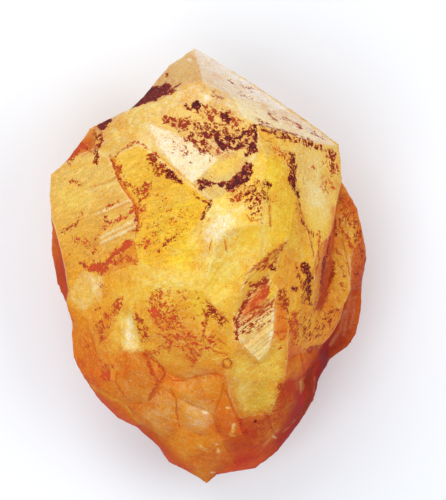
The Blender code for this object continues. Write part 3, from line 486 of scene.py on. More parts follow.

# Veils, and painted glare, highlights, glints and glow: colour, how strong, how soft their edge is,
# the half width of a line or 0 for an area, and one or more outlines.
veilsAndHighlights = [
    # painted glare on the plate, painted highlights and glints round it and along the point's edge, and pale
    # and yellow places of the stone's own
    ("ivory", 0.82, 0.35, 0, [(-17.5, 43), (-14.2, 40.7), (-11.5, 40.2), (-8.8, 39.3), (-5.5, 37.1),
     (-3.4, 35.3), (1.1, 33.5), (2.9, 31.7), (-1, 28), (-4.6, 24.4), (-9.7, 29.9), (-15.1, 36.5)]),
    ("milk", 0.5, 1.5, 0, [(-17, 42), (-12, 39.5), (-8, 37), (-6, 32), (-9.7, 30.5), (-14.5, 35.5)]),
    ("bone", 0.4, 1.5, 0, [(0, 37), (6, 37), (7, 34), (2, 33)]),
    ("fawn", 0.2, 3.0, 0, [(-4, 62), (14, 52.5), (4, 50), (-2, 54)]),
    ("lemon", 0.5, 1.0, 0, [(0, 30), (4, 31), (9.5, 33.5), (9, 30), (4.5, 27), (1, 26.5)]),
    ("cream", 0.45, 0.4, 0.6, [(14, 38.5), (15, 35.5), (13, 32), (11.5, 29.5)]),
    ("cream", 0.4, 1.5, 0, [(-9.5, 53), (-5.5, 54), (-2, 53), (-2.5, 50), (-6.5, 50), (-9.5, 51)]),
    ("milk", 0.6, 1.2, 0, [(-2.5, 51.5), (0.5, 51.8), (1.5, 49.5), (-1, 48.8)]),
    ("milk", 0.8, 0.4, 0.4, [(-5.6, 62), (-5.2, 61.8)]),
    # painted reflection along the point's upper edge
    ("frost", 0.8, 2.0, 2.5, [(-2, 65), (12, 56.5), (24, 48.5)]),
    ("cream", 0.45, 1.5, 0, [(4.5, 50), (9, 48.5), (10.5, 45), (6.5, 45.5)]),
    ("primrose", 0.35, 1.5, 0, [(-28.5, 41), (-21.5, 42), (-20.5, 36.5), (-27, 35.5)]),
    ("cream", 0.7, 1.2, 0, [(-21.5, 39.5), (-17.5, 40.5), (-17, 36.5), (-20.5, 36)]),
    ("cream", 0.6, 0.3, 0.5, [(-18, 36), (-16.5, 33.5), (-5.5, 24.8), (1.5, 19.5)]),
    # the long left face
    ("straw", 0.5, 0.8, 0, [(-32.5, 8), (-27, 11.5), (-21, 14.8), (-20.5, 12.5), (-26, 9), (-31.5, 6.5)]),
    ("cream", 0.8, 0.25, 0.3, [(-31.9, 9), (-26, 11.9), (-21, 14.4)], [(-31.4, 7.6), (-25.7, 10.3),
     (-20.8, 12.6)]),
    ("caramel", 0.8, 0.2, 0.2, [(-31.7, 8.2), (-25.8, 11), (-21, 13.4)]),
    ("caramel", 0.7, 0.2, 0.2, [(-31.4, 6.8), (-25.5, 9.4), (-21, 11.6)]),
    ("cream", 0.7, 0.25, 0.3, [(-33.5, 15.8), (-28, 18), (-22.6, 20.2)]),
    ("caramel", 0.6, 0.25, 0.2, [(-33, 15.1), (-28, 17.2), (-22.6, 19.4)]),
    ("caramel", 0.8, 0.3, 0.25, [(-35.6, 23.5), (-31, 25), (-26.6, 26.6)]),
    ("straw", 0.7, 0.3, 0.35, [(-38, 21.8), (-32, 23.7), (-26, 25.4)]),
    ("straw", 0.6, 0.35, 0.3, [(-35.3, 26.5), (-35.2, 20), (-35, 17)]),
    ("amber", 0.5, 0.8, 0.6, [(-41, 29.8), (-36, 31), (-31, 31.5)]),
    ("butter", 0.5, 2.0, 0, [(-44.5, 23.5), (-36, 25), (-34.5, 20.5), (-40.5, 17), (-44.5, 17.5)]),
    ("amber", 0.6, 2.0, 0, [(-19.5, 3), (-19, 10), (-17, 12.5), (-14.5, 10), (-13, 4), (-16, 2)]),
    ("ochre", 0.5, 3.0, 0, [(-17.5, 24), (-14, 26), (-10, 22), (-12, 16), (-17, 16)], [(-42, 14), (-34, 16),
     (-32, 8), (-38, 2), (-42, 6)]),
    ("straw", 0.55, 0.6, 0, [(-41.5, -7.5), (-37.1, -1.1), (-31.4, -2.6), (-31.6, -9.3), (-37.1, -12.5),
     (-41, -9.5)]),
    ("cream", 0.6, 1.2, 0, [(-36.7, -1.5), (-31.6, -2.8), (-31.8, -8.5), (-35, -5)]),
    # the swollen middle
    # painted highlight on the swollen middle: a pale glow, with a white core inside it
    ("primrose", 0.85, 2.0, 0, [(-5, 7), (-2.5, 12.5), (1, 18), (6, 20.5), (10.5, 19), (11.5, 14), (8.5, 9),
     (3, 6.5), (-2, 5.5)]),
    ("milk", 0.75, 1.3, 0, [(-1.5, 10.5), (0.5, 13), (3, 15), (6, 16.5), (7.5, 14.5), (6, 11.5), (3.5, 9),
     (0, 8)]),
    ("lemon", 0.45, 1.2, 0, [(2, 19.5), (5, 18), (9.5, 18.5), (10.5, 20.5), (6, 21.5)]),
    ("lemon", 0.7, 1.6, 0, [(-12.5, -2.5), (-11, 2), (-7.5, 6), (-2.5, 9), (-1, 6.5), (-3.5, 2.5),
     (-7.5, -2)]),
    ("primrose", 0.5, 2.0, 0, [(-17.5, -4), (-14.5, -0.5), (-9.5, 0), (-5, -2.5), (-3.5, -5.5), (-9.5, -6.5),
     (-14.5, -6.5)]),
    ("primrose", 0.4, 2.0, 0, [(-1, 2.5), (2, 7), (9, 7), (13, 4), (13, -1), (2, 0)]),
    ("butter", 0.5, 2.5, 0, [(-1.5, -0.5), (1.5, 4), (9.5, 6), (13, 2), (11.5, -5), (5.5, -11),
     (0.5, -8.5)]),
    ("cream", 0.4, 0.5, 0.3, [(16, 19), (16, 11.5), (16.5, 3)]),
    ("saffron", 0.7, 2.0, 0, [(9, 16), (15, 17), (15.5, 9), (10, 6), (8, 10)]),
    ("oat", 0.5, 1.2, 0, [(13.8, 38.5), (18.5, 37.5), (18.5, 33), (14, 32.5)]),
    ("lemon", 0.6, 2.0, 0, [(16, 32), (20.5, 33), (22, 24.5), (20.5, 18.5), (17.5, 21.5)]),
    # the pale right face
    ("apricot", 0.4, 1.5, 1.2, [(27, 15), (29, 8)]),
    ("straw", 0.5, 2.0, 0, [(26, 35), (34, 34), (33, 28), (27, 28)]),
    ("straw", 0.8, 1.5, 0, [(27.5, 28.5), (31.5, 31), (34, 25.5), (36.5, 17.5), (33, 10), (30, 14),
     (28, 20.5)]),
    ("cream", 0.5, 1.5, 0, [(29.5, 25.5), (33, 24), (33.5, 18.5), (30.5, 17.5)]),
    # the blade and the tongue below it
    ("marmalade", 0.6, 1.2, 0, [(9, -17), (11, -10.5), (15, -7), (18.5, -9), (17, -13), (12, -16)]),
    ("flame", 0.7, 0.8, 0, [(17.3, -3.5), (13.5, -7), (10.5, -11), (9.5, -15), (12.5, -13), (16, -9.5),
     (18, -7)]),
    ("saffron", 0.9, 0.4, 0, [(19.6, -3.5), (20.4, -6), (18.4, -9), (17.4, -8.5), (18.3, -5.5)]),
    ("tangerine", 0.7, 0.8, 0, [(24, -13), (26, -12.5), (26.7, -16), (25.8, -21), (24.2, -22.5),
     (23.8, -18)]),
    ("straw", 0.8, 0.7, 0, [(9.5, -20), (12, -15.5), (16, -14.5), (19, -13), (19, -15), (18, -24),
     (15.5, -27), (13.5, -25.5), (11.5, -23)]),
    ("milk", 0.6, 0.3, 0.25, [(19, -12), (19, -15.5), (17.8, -23)]),
    ("straw", 0.35, 2.0, 0, [(6, -32), (9.5, -28), (13.5, -29.5), (13, -35.5), (11.5, -42), (8.5, -39)]),
    ("butter", 0.4, 1.2, 1.6, [(21, -23), (20, -31), (18.5, -38.5)]),
    ("pumpkin", 0.5, 1.5, 1.0, [(6.5, -36), (9.5, -43.5), (13, -44), (18, -43)]),
    ("pumpkin", 0.45, 2.0, 2.0, [(39.5, 24), (43.8, 17), (45.8, 9), (46.3, 0)]),
    ("caramel", 0.7, 1.5, 0, [(15, -47), (19, -44), (23.5, -38), (26, -40), (23, -46), (19, -51.5),
     (15, -52)]),
    ("flame", 0.8, 0.6, 0, [(2.1, -63.1), (6, -59.7), (10.8, -57.8), (16.6, -57.3), (18.5, -55.3),
     (15.6, -59.7), (9.8, -62.1), (4, -63.5)]),
    ("scarlet", 0.35, 1.5, 0, [(28.5, -24.5), (33, -24), (34, -28), (32, -33), (32, -39), (28.5, -45),
     (27.5, -40), (29, -33), (28.5, -30)]),
    ("oxblood", 0.3, 1.5, 0, [(22, -38), (26, -40), (28.5, -38), (27, -44.5), (22, -50.5), (19.5, -52.5),
     (20.5, -46)]),
    ("pumpkin", 0.45, 2.0, 0, [(9, -58.5), (14, -60), (20, -55), (19.5, -50), (15, -52), (10, -54)]),
    ("caramel", 0.5, 1.0, 0, [(23.8, -27), (27, -27), (28, -31), (26, -33), (23, -33)]),
    ("tangerine", 0.5, 2.0, 0, [(-12, -33), (-7, -34.5), (-2, -33), (-3, -37), (-9, -38), (-12.5, -36)]),
    ("flame", 0.4, 2.0, 0, [(-17.5, -34), (-13, -33.5), (-12, -38), (-14.5, -40), (-18, -38.5)]),
    ("saffron", 0.4, 1.5, 0, [(29, 19), (33.5, 17), (35, 12.5), (32.5, 9), (29.5, 12)]),
    ("tangerine", 0.45, 2.5, 0, [(-9, -12), (-4, -13), (-1, -18), (-4, -27), (-9, -25), (-16, -21),
     (-14, -16)]),
    ("marmalade", 0.6, 1.5, 0, [(25.5, -24.5), (29, -24), (33, -23), (31, -27), (28.5, -31), (26, -30)]),
    ("butter", 0.6, 1.5, 0, [(8.5, -25), (14, -28.5), (20, -25.5), (21, -30), (15, -33), (8.5, -32)]),
    ("russet", 0.85, 1.5, 0, [(-46.5, 3), (-43.2, 2), (-42, -6), (-42.5, -9.5), (-45.5, -5)]),
    ("caramel", 0.5, 1.5, 0, [(-33, 40.5), (-29, 42), (-28.5, 38), (-32, 36.5)]),
    ("copper", 0.7, 1.5, 0, [(-38, 37.5), (-34, 38), (-33.5, 34), (-37.5, 33.5)]),
    ("scarlet", 0.7, 2.0, 0, [(2, -56), (9, -55.5), (14, -54.5), (15.5, -58), (9, -60.5), (3.5, -61)]),
    ("marmalade", 0.45, 2.0, 0, [(21.5, 5), (25, 5.5), (27.5, 1), (27, -7), (23.5, -9), (21, -5), (20, -1)]),
    ("tangerine", 0.8, 1.0, 0, [(20, -10), (22.5, -12), (23, -20), (19.8, -20), (19.7, -14)]),
    ("scarlet", 0.8, 0.4, 0, [(8.7, -44.5), (10, -44.5), (10.5, -47.2), (12.7, -48.3), (14.8, -47.8),
     (13, -49.2), (10.8, -50.2), (9.6, -48)]),
    ("scarlet", 0.4, 1.2, 0, [(20.8, -33.8), (24.5, -32.5), (26, -35), (23, -38.5), (21, -38.8)]),
    # painted glow: the lower end made lighter and warmer, standing in for light shining through the stone
    ("apricot", 0.45, 3.0, 0, [(-20, -46), (-8, -46), (3, -52), (7, -57), (1, -62), (-6, -60), (-13, -52)]),
    ("amber", 0.35, 3.0, 0, [(-22, -37), (-12, -36), (-3, -33), (4, -34), (0, -42), (-9, -46), (-19, -44)]),
    # the smaller crystal
    ("flame", 0.6, 1.2, 1.6, [(37.8, 17), (37.6, 12), (37.4, 6)]),
    ("brick", 0.6, 1.5, 1.5, [(34.5, -1), (34, -6), (33, -11)]),
    ("ochre", 0.75, 1.2, 0, [(38.8, 14.5), (41.5, 16.5), (44.3, 13.5), (44.5, 8.5), (42, 5), (38.8, 6.5)]),
    ("wheat", 0.6, 1.0, 0.7, [(40.5, 14.5), (43, 9.5)]),
    ("ochre", 0.6, 1.5, 0, [(38, 4), (41.5, 3.5), (41.8, -5), (39.5, -6), (38.8, -3), (37.8, -2)]),
    # a painted highlight along the right edge
    ("straw", 0.6, 0.4, 0.25, [(41.8, 4), (42.2, -1), (42, -6.5)]),
    # the ridge on the lower left, with a painted highlight along it, and yellow places beside it
    ("butter", 0.7, 0.9, 0, [(-25, -13.5), (-22.5, -13.5), (-21.5, -16), (-21, -20), (-20, -24.5),
     (-22.5, -25), (-25.5, -23.5), (-24.5, -18)]),
    ("cream", 0.8, 0.7, 0, [(-24.3, -14), (-22.5, -14.3), (-21.8, -19.5), (-20.3, -24.3), (-25, -24),
     (-24.3, -19)]),
    ("milk", 0.55, 0.8, 0, [(-23.7, -16), (-22.7, -16), (-22, -20), (-22.2, -22.5), (-24, -22),
     (-23.6, -19)]),
    ("honey", 0.6, 2.0, 0, [(-27, -4), (-20, -1), (-17.5, -6), (-22, -10), (-27, -9)]),
    ("butter", 0.5, 1.5, 0, [(-27.5, -14), (-25.3, -12.5), (-25.5, -23.5), (-29, -25.5)]),
    # cloudy places in the broken end
    ("sand", 0.5, 2.5, 0, [(-7.5, -40), (-3.5, -38.5), (0.5, -39.5), (1.5, -44.5), (-1.5, -48.5),
     (-5.5, -47)]),
    ("biscuit", 0.35, 2.0, 0, [(-18.5, -37), (-12.5, -36.5), (-9.5, -40), (-10.5, -47), (-14.5, -50),
     (-18.5, -45)], [(-8, -31), (-2.5, -29), (1, -31), (-0.5, -37), (-5.5, -38), (-8.5, -35.5)]),
    ("copper", 0.5, 2.0, 0, [(-3.5, -54.5), (1.5, -53.5), (7, -56), (5.5, -60.5), (1.5, -64), (-2, -61)]),
    ("ochre", 0.6, 0.5, 0.5, [(-36, -35), (-30.5, -38), (-25, -41), (-20.5, -46.5)]),
    ("flame", 0.6, 1.2, 1.5, [(-33.5, -40.5), (-27, -46.5), (-21.5, -49.5), (-16.5, -53.5), (-12, -59.5),
     (-6.5, -62.5)]),
    # sheen and glints on the lower right
    ("rose", 0.4, 0.5, 0.5, [(42.3, -8), (42.2, -12), (41.5, -16), (40.8, -20)]),
    ("rose", 0.35, 0.5, 0.4, [(43.8, -9), (43.8, -13.5), (42.8, -18)]),
    ("rose", 0.5, 0.5, 0.5, [(41, -13), (39.5, -19), (37, -23)]),
    ("sand", 0.55, 0.5, 0, [(27.2, -33.5), (28.4, -32.8), (28.6, -36), (27.6, -37.5)]),
    ("rose", 0.4, 0.5, 0.25, [(26, -31), (26.5, -36)]),
    ("rose", 0.6, 0.4, 0.2, [(31.9, -33), (31.7, -37), (30.7, -41)]),
    ("sand", 0.4, 0.5, 0.2, [(16.5, -53.5), (19, -50.5), (21, -48.5)]),
    ("straw", 0.5, 0.5, 0.25, [(-2.5, -53), (-0.5, -55)]),
    ("milk", 0.7, 0.3, 0.15, [(2.2, -52.4), (2.6, -52.8)]),
    ("milk", 0.6, 0.3, 0.2, [(1, -61.9), (1.8, -62.1)]),
    ("milk", 0.7, 0.3, 0.2, [(19.6, -50.7), (20.3, -51.3)]),
    ("rose", 0.6, 0.3, 0.25, [(28.5, -42.5), (26.5, -45.5), (22.5, -49.5)]),
    ("milk", 0.8, 0.3, 0.4, [(-1.5, -42.5), (0, -43)]),
    ("milk", 0.8, 0.3, 0.5, [(3, -54.5), (3, -55)]),
    ("primrose", 0.8, 0.3, 0.15, [(5.3, -41.3), (6.6, -41)]),
    ("primrose", 0.7, 0.5, 0.35, [(7.6, -46.5), (7.3, -48.5)]),
    ("butter", 0.6, 0.5, 0.3, [(6.6, -49.5), (8, -50.2)]),
]

# Iron stains: cover is how much of the place the flecks take, dark how far they go from rust to
# maroon. Then how wide the ragged edge is, the half width or 0 as above, and the outlines.
stains = [
    # the point
    (1.2, 0.75, 0.5, 0, [(-24, 46.5), (-17, 54.3), (-13.8, 54.1), (-12.2, 55.3), (-11, 53.3), (-12, 51.6),
     (-15.7, 49.5), (-20, 48.2)]),
    (0.9, 0.6, 0.6, 0, [(-13, 53.5), (-12, 55.2), (-10.3, 53.6), (-7.8, 54.6), (-10.8, 51.4), (-13, 50.8)]),
    (0.6, 0.5, 0.4, 0.6, [(-12.7, 57.6), (-12.2, 57.4)]),
    (0.62, 0.7, 0.6, 0.5, [(6, 56), (7.5, 54.7)]),
    (0.6, 0.6, 0.6, 0.5, [(10.5, 54.2), (13, 52.7)]),
    (0.5, 0.6, 0.8, 0.6, [(9, 52), (12.5, 50)]),
    (0.55, 0.5, 0.8, 0.7, [(17.5, 46), (20, 43.5)]),
    (0.62, 0.5, 0.8, 0.7, [(22, 44.5), (27.5, 41.5)]),
    (0.6, 0.5, 0.8, 0.7, [(29, 41.2), (34, 38.5)]),
    (0.5, 0.5, 0.8, 0.8, [(1, 51), (4, 50)]),
    # the upper left shoulder
    (1.2, 0.75, 0.3, 0, [(-33, 41.5), (-32, 43), (-29.5, 44), (-28, 44.3), (-28.5, 43), (-30, 42),
     (-32, 41)]),
    (0.72, 0.75, 0.6, 0.7, [(-33.5, 40), (-33, 38)]),
    (0.72, 0.5, 0.6, 0.9, [(-31.5, 39.5), (-32, 37), (-33, 35), (-33, 32.5), (-33, 31)]),
    (0.62, 0.7, 0.6, 0.6, [(-35.5, 35), (-33.5, 34)]),
    (0.9, 0.15, 0.8, 0, [(-37.5, 38), (-35.5, 36), (-38.5, 33), (-41.5, 31), (-43, 31.5), (-40.5, 34.5)]),
    (0.65, 0.1, 0.5, 0.5, [(-28.5, 32), (-25, 35), (-21, 37.2), (-18, 35.3), (-15, 33.3)]),
    (0.62, 0.2, 0.6, 0.7, [(-28.5, 32), (-26, 30), (-25.5, 27.5), (-24, 25.5)]),
    # the plate: clots, flecks, a round pit, and the dark crescent at its foot
    (0.6, 0.5, 1.0, 0, [(-8.5, 41), (-2, 40.5), (0, 36), (-2, 33), (-4, 35.5), (-8.5, 38.5)]),
    (0.64, 0.3, 1.2, 0, [(3.5, 46.5), (8, 45.5), (10.5, 42.5), (8, 40.5), (4, 42)]),
    (0.78, 0.4, 1.0, 0, [(-13.5, 44.5), (-11.5, 45), (-8.5, 44.4), (-5, 44.4), (-4.5, 41.5), (-7, 40.5),
     (-10.5, 41.5), (-13, 42)]),
    (0.7, 0.35, 1.0, 0, [(-5, 47), (-1.5, 48.5), (2.5, 47), (4, 44.5), (1.5, 42.5), (-2.5, 44)]),
    (0.66, 0.6, 1.5, 0, [(-5.5, 43), (-0.5, 43), (4, 42), (6.5, 40), (10.5, 41.5), (13.5, 42), (14.5, 38.5),
     (13.5, 35), (11.5, 33.5), (8.5, 35), (4.5, 34.5), (1.5, 35.5), (-1.5, 38), (-4.5, 40)]),
    (1.05, 1.0, 0.7, 0, [(3.3, 45.8), (5.6, 45.5), (7.3, 43), (6, 41.8), (3.8, 43)]),
    (0.42, 0.3, 1.5, 0, [(0.5, 36.5), (9, 36.5), (10.5, 33.5), (7, 32), (2, 32.5)]),
    (0.66, 0.5, 1.0, 0, [(-3.5, 38.5), (-0.5, 36.5), (1.5, 33.5), (0.5, 31.5), (-1.5, 33), (-3, 35.5)]),
    (0.55, 0.4, 0.6, 0, [(-9.5, 41), (-7.5, 41.5), (-6, 40), (-8.5, 39.5)]),
    (0.27, 0.4, 1.5, 0, [(-12.5, 39), (-5, 36.5), (-2, 33), (-5, 30), (-11, 34)]),
    (1.2, 1.0, 0.35, 1.3, [(-3.3, 47.8), (-3.1, 47.6)]),
    (0.8, 0.8, 0.5, 0.6, [(-6.5, 47.5), (-5.8, 46.8)]),
    (1.1, 1.0, 0.6, 0.9, [(2.2, 39.8), (3, 37.5)]),
    (1.1, 1.0, 0.6, 1.0, [(3, 36.7), (4.5, 35)]),
    (0.95, 1.0, 0.6, 0.9, [(5.5, 38), (7.5, 36.8)]),
    (1.1, 1.0, 0.6, 1.0, [(9.2, 38), (10.8, 40)]),
    (1.1, 1.0, 0.6, 0.9, [(12.6, 36), (14, 34.6)]),
    (0.85, 0.95, 0.6, 0.8, [(13.5, 41.5), (13.7, 38), (13.2, 35.5), (11, 33)], [(7, 35.3), (10, 35.3)]),
    (0.98, 1.0, 0.6, 0, [(-3.4, 25.2), (-1.8, 26.1), (0.5, 25.6), (3, 24.8), (5.5, 25.6), (8, 26.6),
     (9.5, 29), (11, 31), (12.8, 30.2), (13.3, 28), (12, 26), (9.8, 24), (7, 22.4), (4.5, 23.3), (1, 24.2),
     (-2, 23.8)]),
    (0.8, 0.9, 0.5, 0.6, [(-2.5, 23.3), (-0.5, 23.9)]),
    (0.64, 0.6, 1.5, 0, [(9.5, 22.5), (13, 23.5), (16, 23), (17.5, 20), (15, 18.5), (11.5, 19.5)]),
    (0.9, 1.0, 0.6, 0.9, [(16.5, 25), (17.5, 24)]),
    (0.8, 0.9, 0.6, 0.7, [(13.5, 22.5), (15, 21.5)]),
    # along the ledge
    (0.72, 0.4, 1.2, 0, [(-18, 33.5), (-15.5, 34), (-13.5, 31.5), (-11, 28.5), (-12.5, 27.5), (-15.5, 26.5),
     (-17.5, 30)]),
    (0.85, 0.8, 0.7, 0, [(-13, 29.5), (-11, 29), (-9, 27), (-7.5, 25), (-6.5, 23.5), (-9, 24.5),
     (-12, 26.5)]),
    (0.7, 0.4, 0.7, 0, [(-5, 23), (-2.5, 21), (0, 20), (1, 20.5), (1.5, 19), (-0.5, 18.5), (-4.5, 21)]),
    (0.75, 0.7, 0.5, 0.6, [(1, 19.8), (-0.5, 17), (-1.5, 14.5)]),
    # the yellow face
    (0.66, 0.2, 1.2, 0, [(-19.5, 24.5), (-18, 26), (-16, 25), (-16.5, 21.5), (-18, 19.5), (-20, 21.5)]),
    (0.66, 0.1, 1.0, 0, [(-22.5, 18), (-20, 20), (-18, 18.5), (-18, 16.5), (-21, 15.5), (-22.5, 16.5)]),
    (0.5, 0.2, 0.8, 1.0, [(-14, 21.5), (-12.5, 20.5)]),
    (0.28, 0.25, 3.0, 0, [(-18, 18), (-11.5, 19), (-3, 17), (-5, 11.5), (-10, 8.5), (-14.5, 4), (-17.5, 6.5),
     (-19.5, 11.5)]),
    (0.6, 0.3, 0.7, 0.9, [(-14, 5), (-12, 8), (-9.5, 9)]),
    # the long left face
    (0.52, 0.25, 1.2, 1.4, [(-27.5, 32.5), (-26, 27), (-22.5, 23.5), (-19.5, 21), (-20, 17), (-20.5, 12)]),
    (1.05, 0.05, 0.9, 0, [(-36.5, -0.5), (-34.5, 1.5), (-30.5, 1.5), (-28.5, 5), (-25.5, 7.5), (-22, 9),
     (-21.5, 7), (-24, 5), (-27, 4), (-28.5, 2), (-30.5, -1.5), (-33.5, -1.5)]),
    (1.1, 0.1, 0.8, 0, [(-34, 1), (-30, 2), (-29, -0.5), (-33, -1.5)]),
    (0.66, 0.1, 0.8, 1.0, [(-29, 1.5), (-24.5, 3.2), (-21, 2)]),
    (0.6, 0.1, 1.0, 1.3, [(-20.5, 6.5), (-18, 8), (-18, 5.5)]),
    (0.5, 0.3, 0.8, 0.8, [(-43.5, 10.5), (-40.5, 12.5), (-37, 16)]),
    (0.6, 0.3, 0.6, 0.7, [(-30, 15.5), (-30, 14)]),
    (0.55, 0.2, 0.7, 0.7, [(-32.5, 9), (-33.5, 5.5), (-34.5, 2)]),
    (0.5, 0.0, 1.2, 1.4, [(-40, 8.5), (-36.5, 7.5), (-34.5, 6)]),
    (0.6, 0.2, 0.7, 0.9, [(-37.5, 1.5), (-35, 0)]),
    (0.5, 0.2, 0.7, 0.6, [(-31.5, 17.5), (-26, 19.5)]),
    (0.62, 0.0, 0.7, 0.8, [(-30.5, 12), (-25, 15), (-22.5, 16.5)]),
    (0.5, 0.2, 0.7, 0.7, [(-40.5, 25.5), (-37.5, 25)]),
    # the upper right
    (0.5, 0.5, 1.0, 0, [(14.5, 43.5), (17, 43), (21, 41), (26, 39.5), (31, 37.5), (35, 35.5), (34, 34),
     (28, 36.5), (22, 37.8), (17, 39.5)]),
    (0.72, 0.6, 0.6, 0.6, [(16, 40.5), (19.5, 38.8), (24, 37.5), (27.5, 36.8), (31.5, 35.2), (36.5, 34.2)]),
    (0.6, 0.5, 0.8, 0.9, [(15, 43), (16.5, 41)]),
    (0.75, 0.8, 0.8, 0.9, [(18, 40), (20.5, 39), (23.5, 38)]),
    (0.75, 0.6, 0.6, 0.7, [(29.5, 36.5), (31.5, 35.5)]),
    (0.55, 0.2, 1.0, 0, [(33.5, 34), (38, 34.5), (38.8, 28), (36, 26.5)]),
    (0.78, 0.45, 0.6, 0, [(35.7, 35), (37.2, 35.8), (37.6, 33), (37.3, 30), (36.3, 28.6), (35.6, 31)]),
    (0.5, 0.1, 0.8, 0.8, [(31.5, 29.5), (34, 31)]),
    (0.5, 0.05, 1.0, 1.0, [(33.5, 26), (35, 22)]),
    (0.5, 0.05, 1.0, 0.8, [(35.5, 26.5), (37, 23.5)]),
    (0.85, 0.9, 0.6, 0.7, [(24, 25.8), (24, 24.5)]),
    (0.85, 0.9, 0.6, 0.9, [(25, 24), (26.5, 21.5)]),
    (0.58, 0.5, 0.6, 0.5, [(26, 21), (26.7, 17.5), (27.5, 13.5), (29, 11), (31, 9.5)]),
    (0.5, 0.0, 1.5, 0, [(16, 39), (20, 36.5), (24, 33.5), (25, 26.5), (22.5, 29.5), (19, 34)]),
    (0.8, 0.7, 0.8, 0, [(23.6, 34.6), (25.4, 33.2), (26, 30.8), (26.6, 27.9), (25.8, 26), (26.3, 22.6),
     (24.8, 21.6), (23.6, 25), (23.6, 29.3), (23.9, 31.7)]),
    (0.6, 0.3, 1.2, 0, [(5.5, 23.5), (9, 24.5), (10.5, 20.5), (8.5, 18.5), (6, 20)]),
    (0.48, 0.5, 1.2, 0, [(8.3, 24.5), (11.2, 25), (15.6, 26.4), (18, 25), (18.5, 22.1), (19.4, 19.7),
     (16.1, 17.7), (15.6, 13.4), (13.2, 13.4), (10.7, 17.7), (9.3, 21.6)]),
    # the blade's edges and its dark recess
    (0.58, 0.3, 0.7, 0, [(22.7, 7.6), (20.3, 6.2), (16.4, 2.8), (12, -1), (14.5, -1.3), (17.3, 0.3),
     (19.3, -0.2), (20.3, 1.8), (21.5, 4.2)]),
    (0.9, 0.9, 0.5, 0.6, [(19, 0.5), (19.5, 0)]),
    (0.62, 0.4, 0.8, 0.9, [(11.5, -3.5), (13, -5)]),
    (0.85, 0.35, 0.6, 0.8, [(17.5, -2.5), (14.5, -5), (12, -7.5), (10, -11), (8.5, -15), (8.5, -20)]),
    (0.85, 0.1, 1.0, 0, [(18, -4.5), (16, -5), (13, -8.5), (11.5, -12.5), (13.5, -11.5), (16, -9),
     (19, -7)]),
    (0.62, 0.2, 1.5, 0, [(11, -14), (13, -10.5), (16.5, -8), (19.3, -8.5), (19.3, -13), (15, -15.5),
     (11, -18)]),
    (0.55, 0.4, 1.2, 0, [(9, -15), (12, -12), (16, -13), (18.5, -15), (16, -18), (12, -19.5), (9.5, -20)]),
    (0.75, 0.3, 1.0, 0, [(20.5, -5.5), (23, -6.5), (24, -11), (23.5, -13.5), (21, -11.5), (20, -8)]),
    (0.55, 0.0, 0.5, 0.5, [(19.5, -18.5), (22.5, -18.5)], [(19.5, -20.5), (22.5, -20.5)], [(19, -23),
     (22.5, -23)], [(20.5, -14.5), (23.5, -15)]),
    (0.72, 0.15, 1.2, 0, [(24, -12), (27, -13), (27, -21), (25.5, -23.5), (23.5, -18.5)]),
    # the fluted right side and its groove
    (0.9, 0.75, 0.8, 0, [(27.2, 1.5), (28.5, 2.2), (30, 1), (30.6, -3), (30.4, -8.5), (29.3, -9),
     (28.3, -5.5), (28.6, -2), (27.3, 0)]),
    (0.8, 0.9, 0.6, 0.6, [(29.5, -8.5), (30, -11)]),
    (0.75, 0.8, 0.6, 0.7, [(24.3, -6), (25.5, -6)]),
    (0.55, 0.4, 1.0, 1.2, [(26, 1), (27.5, -3.5), (28.5, -9.5)]),
    (0.6, 0.0, 0.6, 0.6, [(32.5, 10.5), (32.5, 4), (31.5, -4)]),
    (0.9, 0.6, 0.5, 0.4, [(36.2, 9.2), (34.6, 2.4), (33.7, -2.5), (33.2, -6.8)]),
    (0.8, 0.2, 0.7, 0, [(35.7, 9.2), (36.3, 9), (36.1, 4.1), (37.6, 2.4), (38, -0.3), (37.2, -3.6),
     (36.4, -6.8), (34.6, -10.1), (33, -12.6), (31.3, -12.6), (31.6, -11.2), (33, -9), (33.5, -5.8),
     (34.1, -1.4), (34.9, 2.4), (35.3, 6.2)]),
    (0.45, 0.4, 1.5, 0, [(26.5, -12), (31, -12), (31, -22), (28, -23), (26, -21)]),
    (0.45, 0.35, 1.5, 0, [(34, -12.5), (40, -11.5), (38.5, -16), (34, -22), (31, -21), (31.5, -15)]),
    (0.6, 0.3, 0.7, 0.9, [(32, -18.5), (35.5, -16), (37, -14.5)]),
    (0.85, 0.3, 0.8, 0, [(28.5, -24.5), (31, -23), (34, -22.5), (33, -24.5), (30, -25.5)]),
    # the smaller crystal
    (0.56, 0.2, 1.5, 0, [(36.5, 14), (40, 16), (43, 20.5), (44.5, 17), (42, 12.5), (39, 10), (37, 11)]),
    (0.75, 0.5, 0.7, 0.6, [(37.3, 15), (38, 9.6)]),
    (0.62, 0.15, 0.8, 0.8, [(39, 12.5), (43.5, 5.5)], [(39.3, 17.5), (44.8, 11.5)]),
    (0.62, 0.1, 1.0, 0, [(38.3, 19.5), (39.5, 23.5), (42.5, 20.5), (44, 16), (41.5, 16.5)]),
    (0.55, 0.2, 0.6, 0.5, [(38.3, 5.5), (41.5, 1)], [(38, 2.5), (41.5, -3)], [(37.5, -1.5), (41, -7)],
     [(36.8, -6), (39, -9.5)]),
    (0.5, 0.4, 1.5, 2.0, [(44, 13), (46, 4), (44, -5)]),
    # the lower left
    (0.62, 0.15, 1.0, 0, [(-24.9, -8.5), (-24.5, -10.9), (-28.8, -15.7), (-29.3, -21.5), (-31.7, -22.4),
     (-34.1, -18.6), (-33.6, -15.7), (-29.3, -12.3), (-27.8, -9.4)]),
    (0.6, 0.5, 0.5, 0.5, [(-34, -12.5), (-31.5, -11.5)]),
    (0.55, 0.3, 0.6, 0.7, [(-32, -5), (-29, -5.5)]),
    (0.8, 0.0, 1.0, 0, [(-17.3, -9.8), (-14.6, -12), (-13, -14.2), (-14.1, -16.9), (-16.2, -16.3),
     (-17.8, -13.1)]),
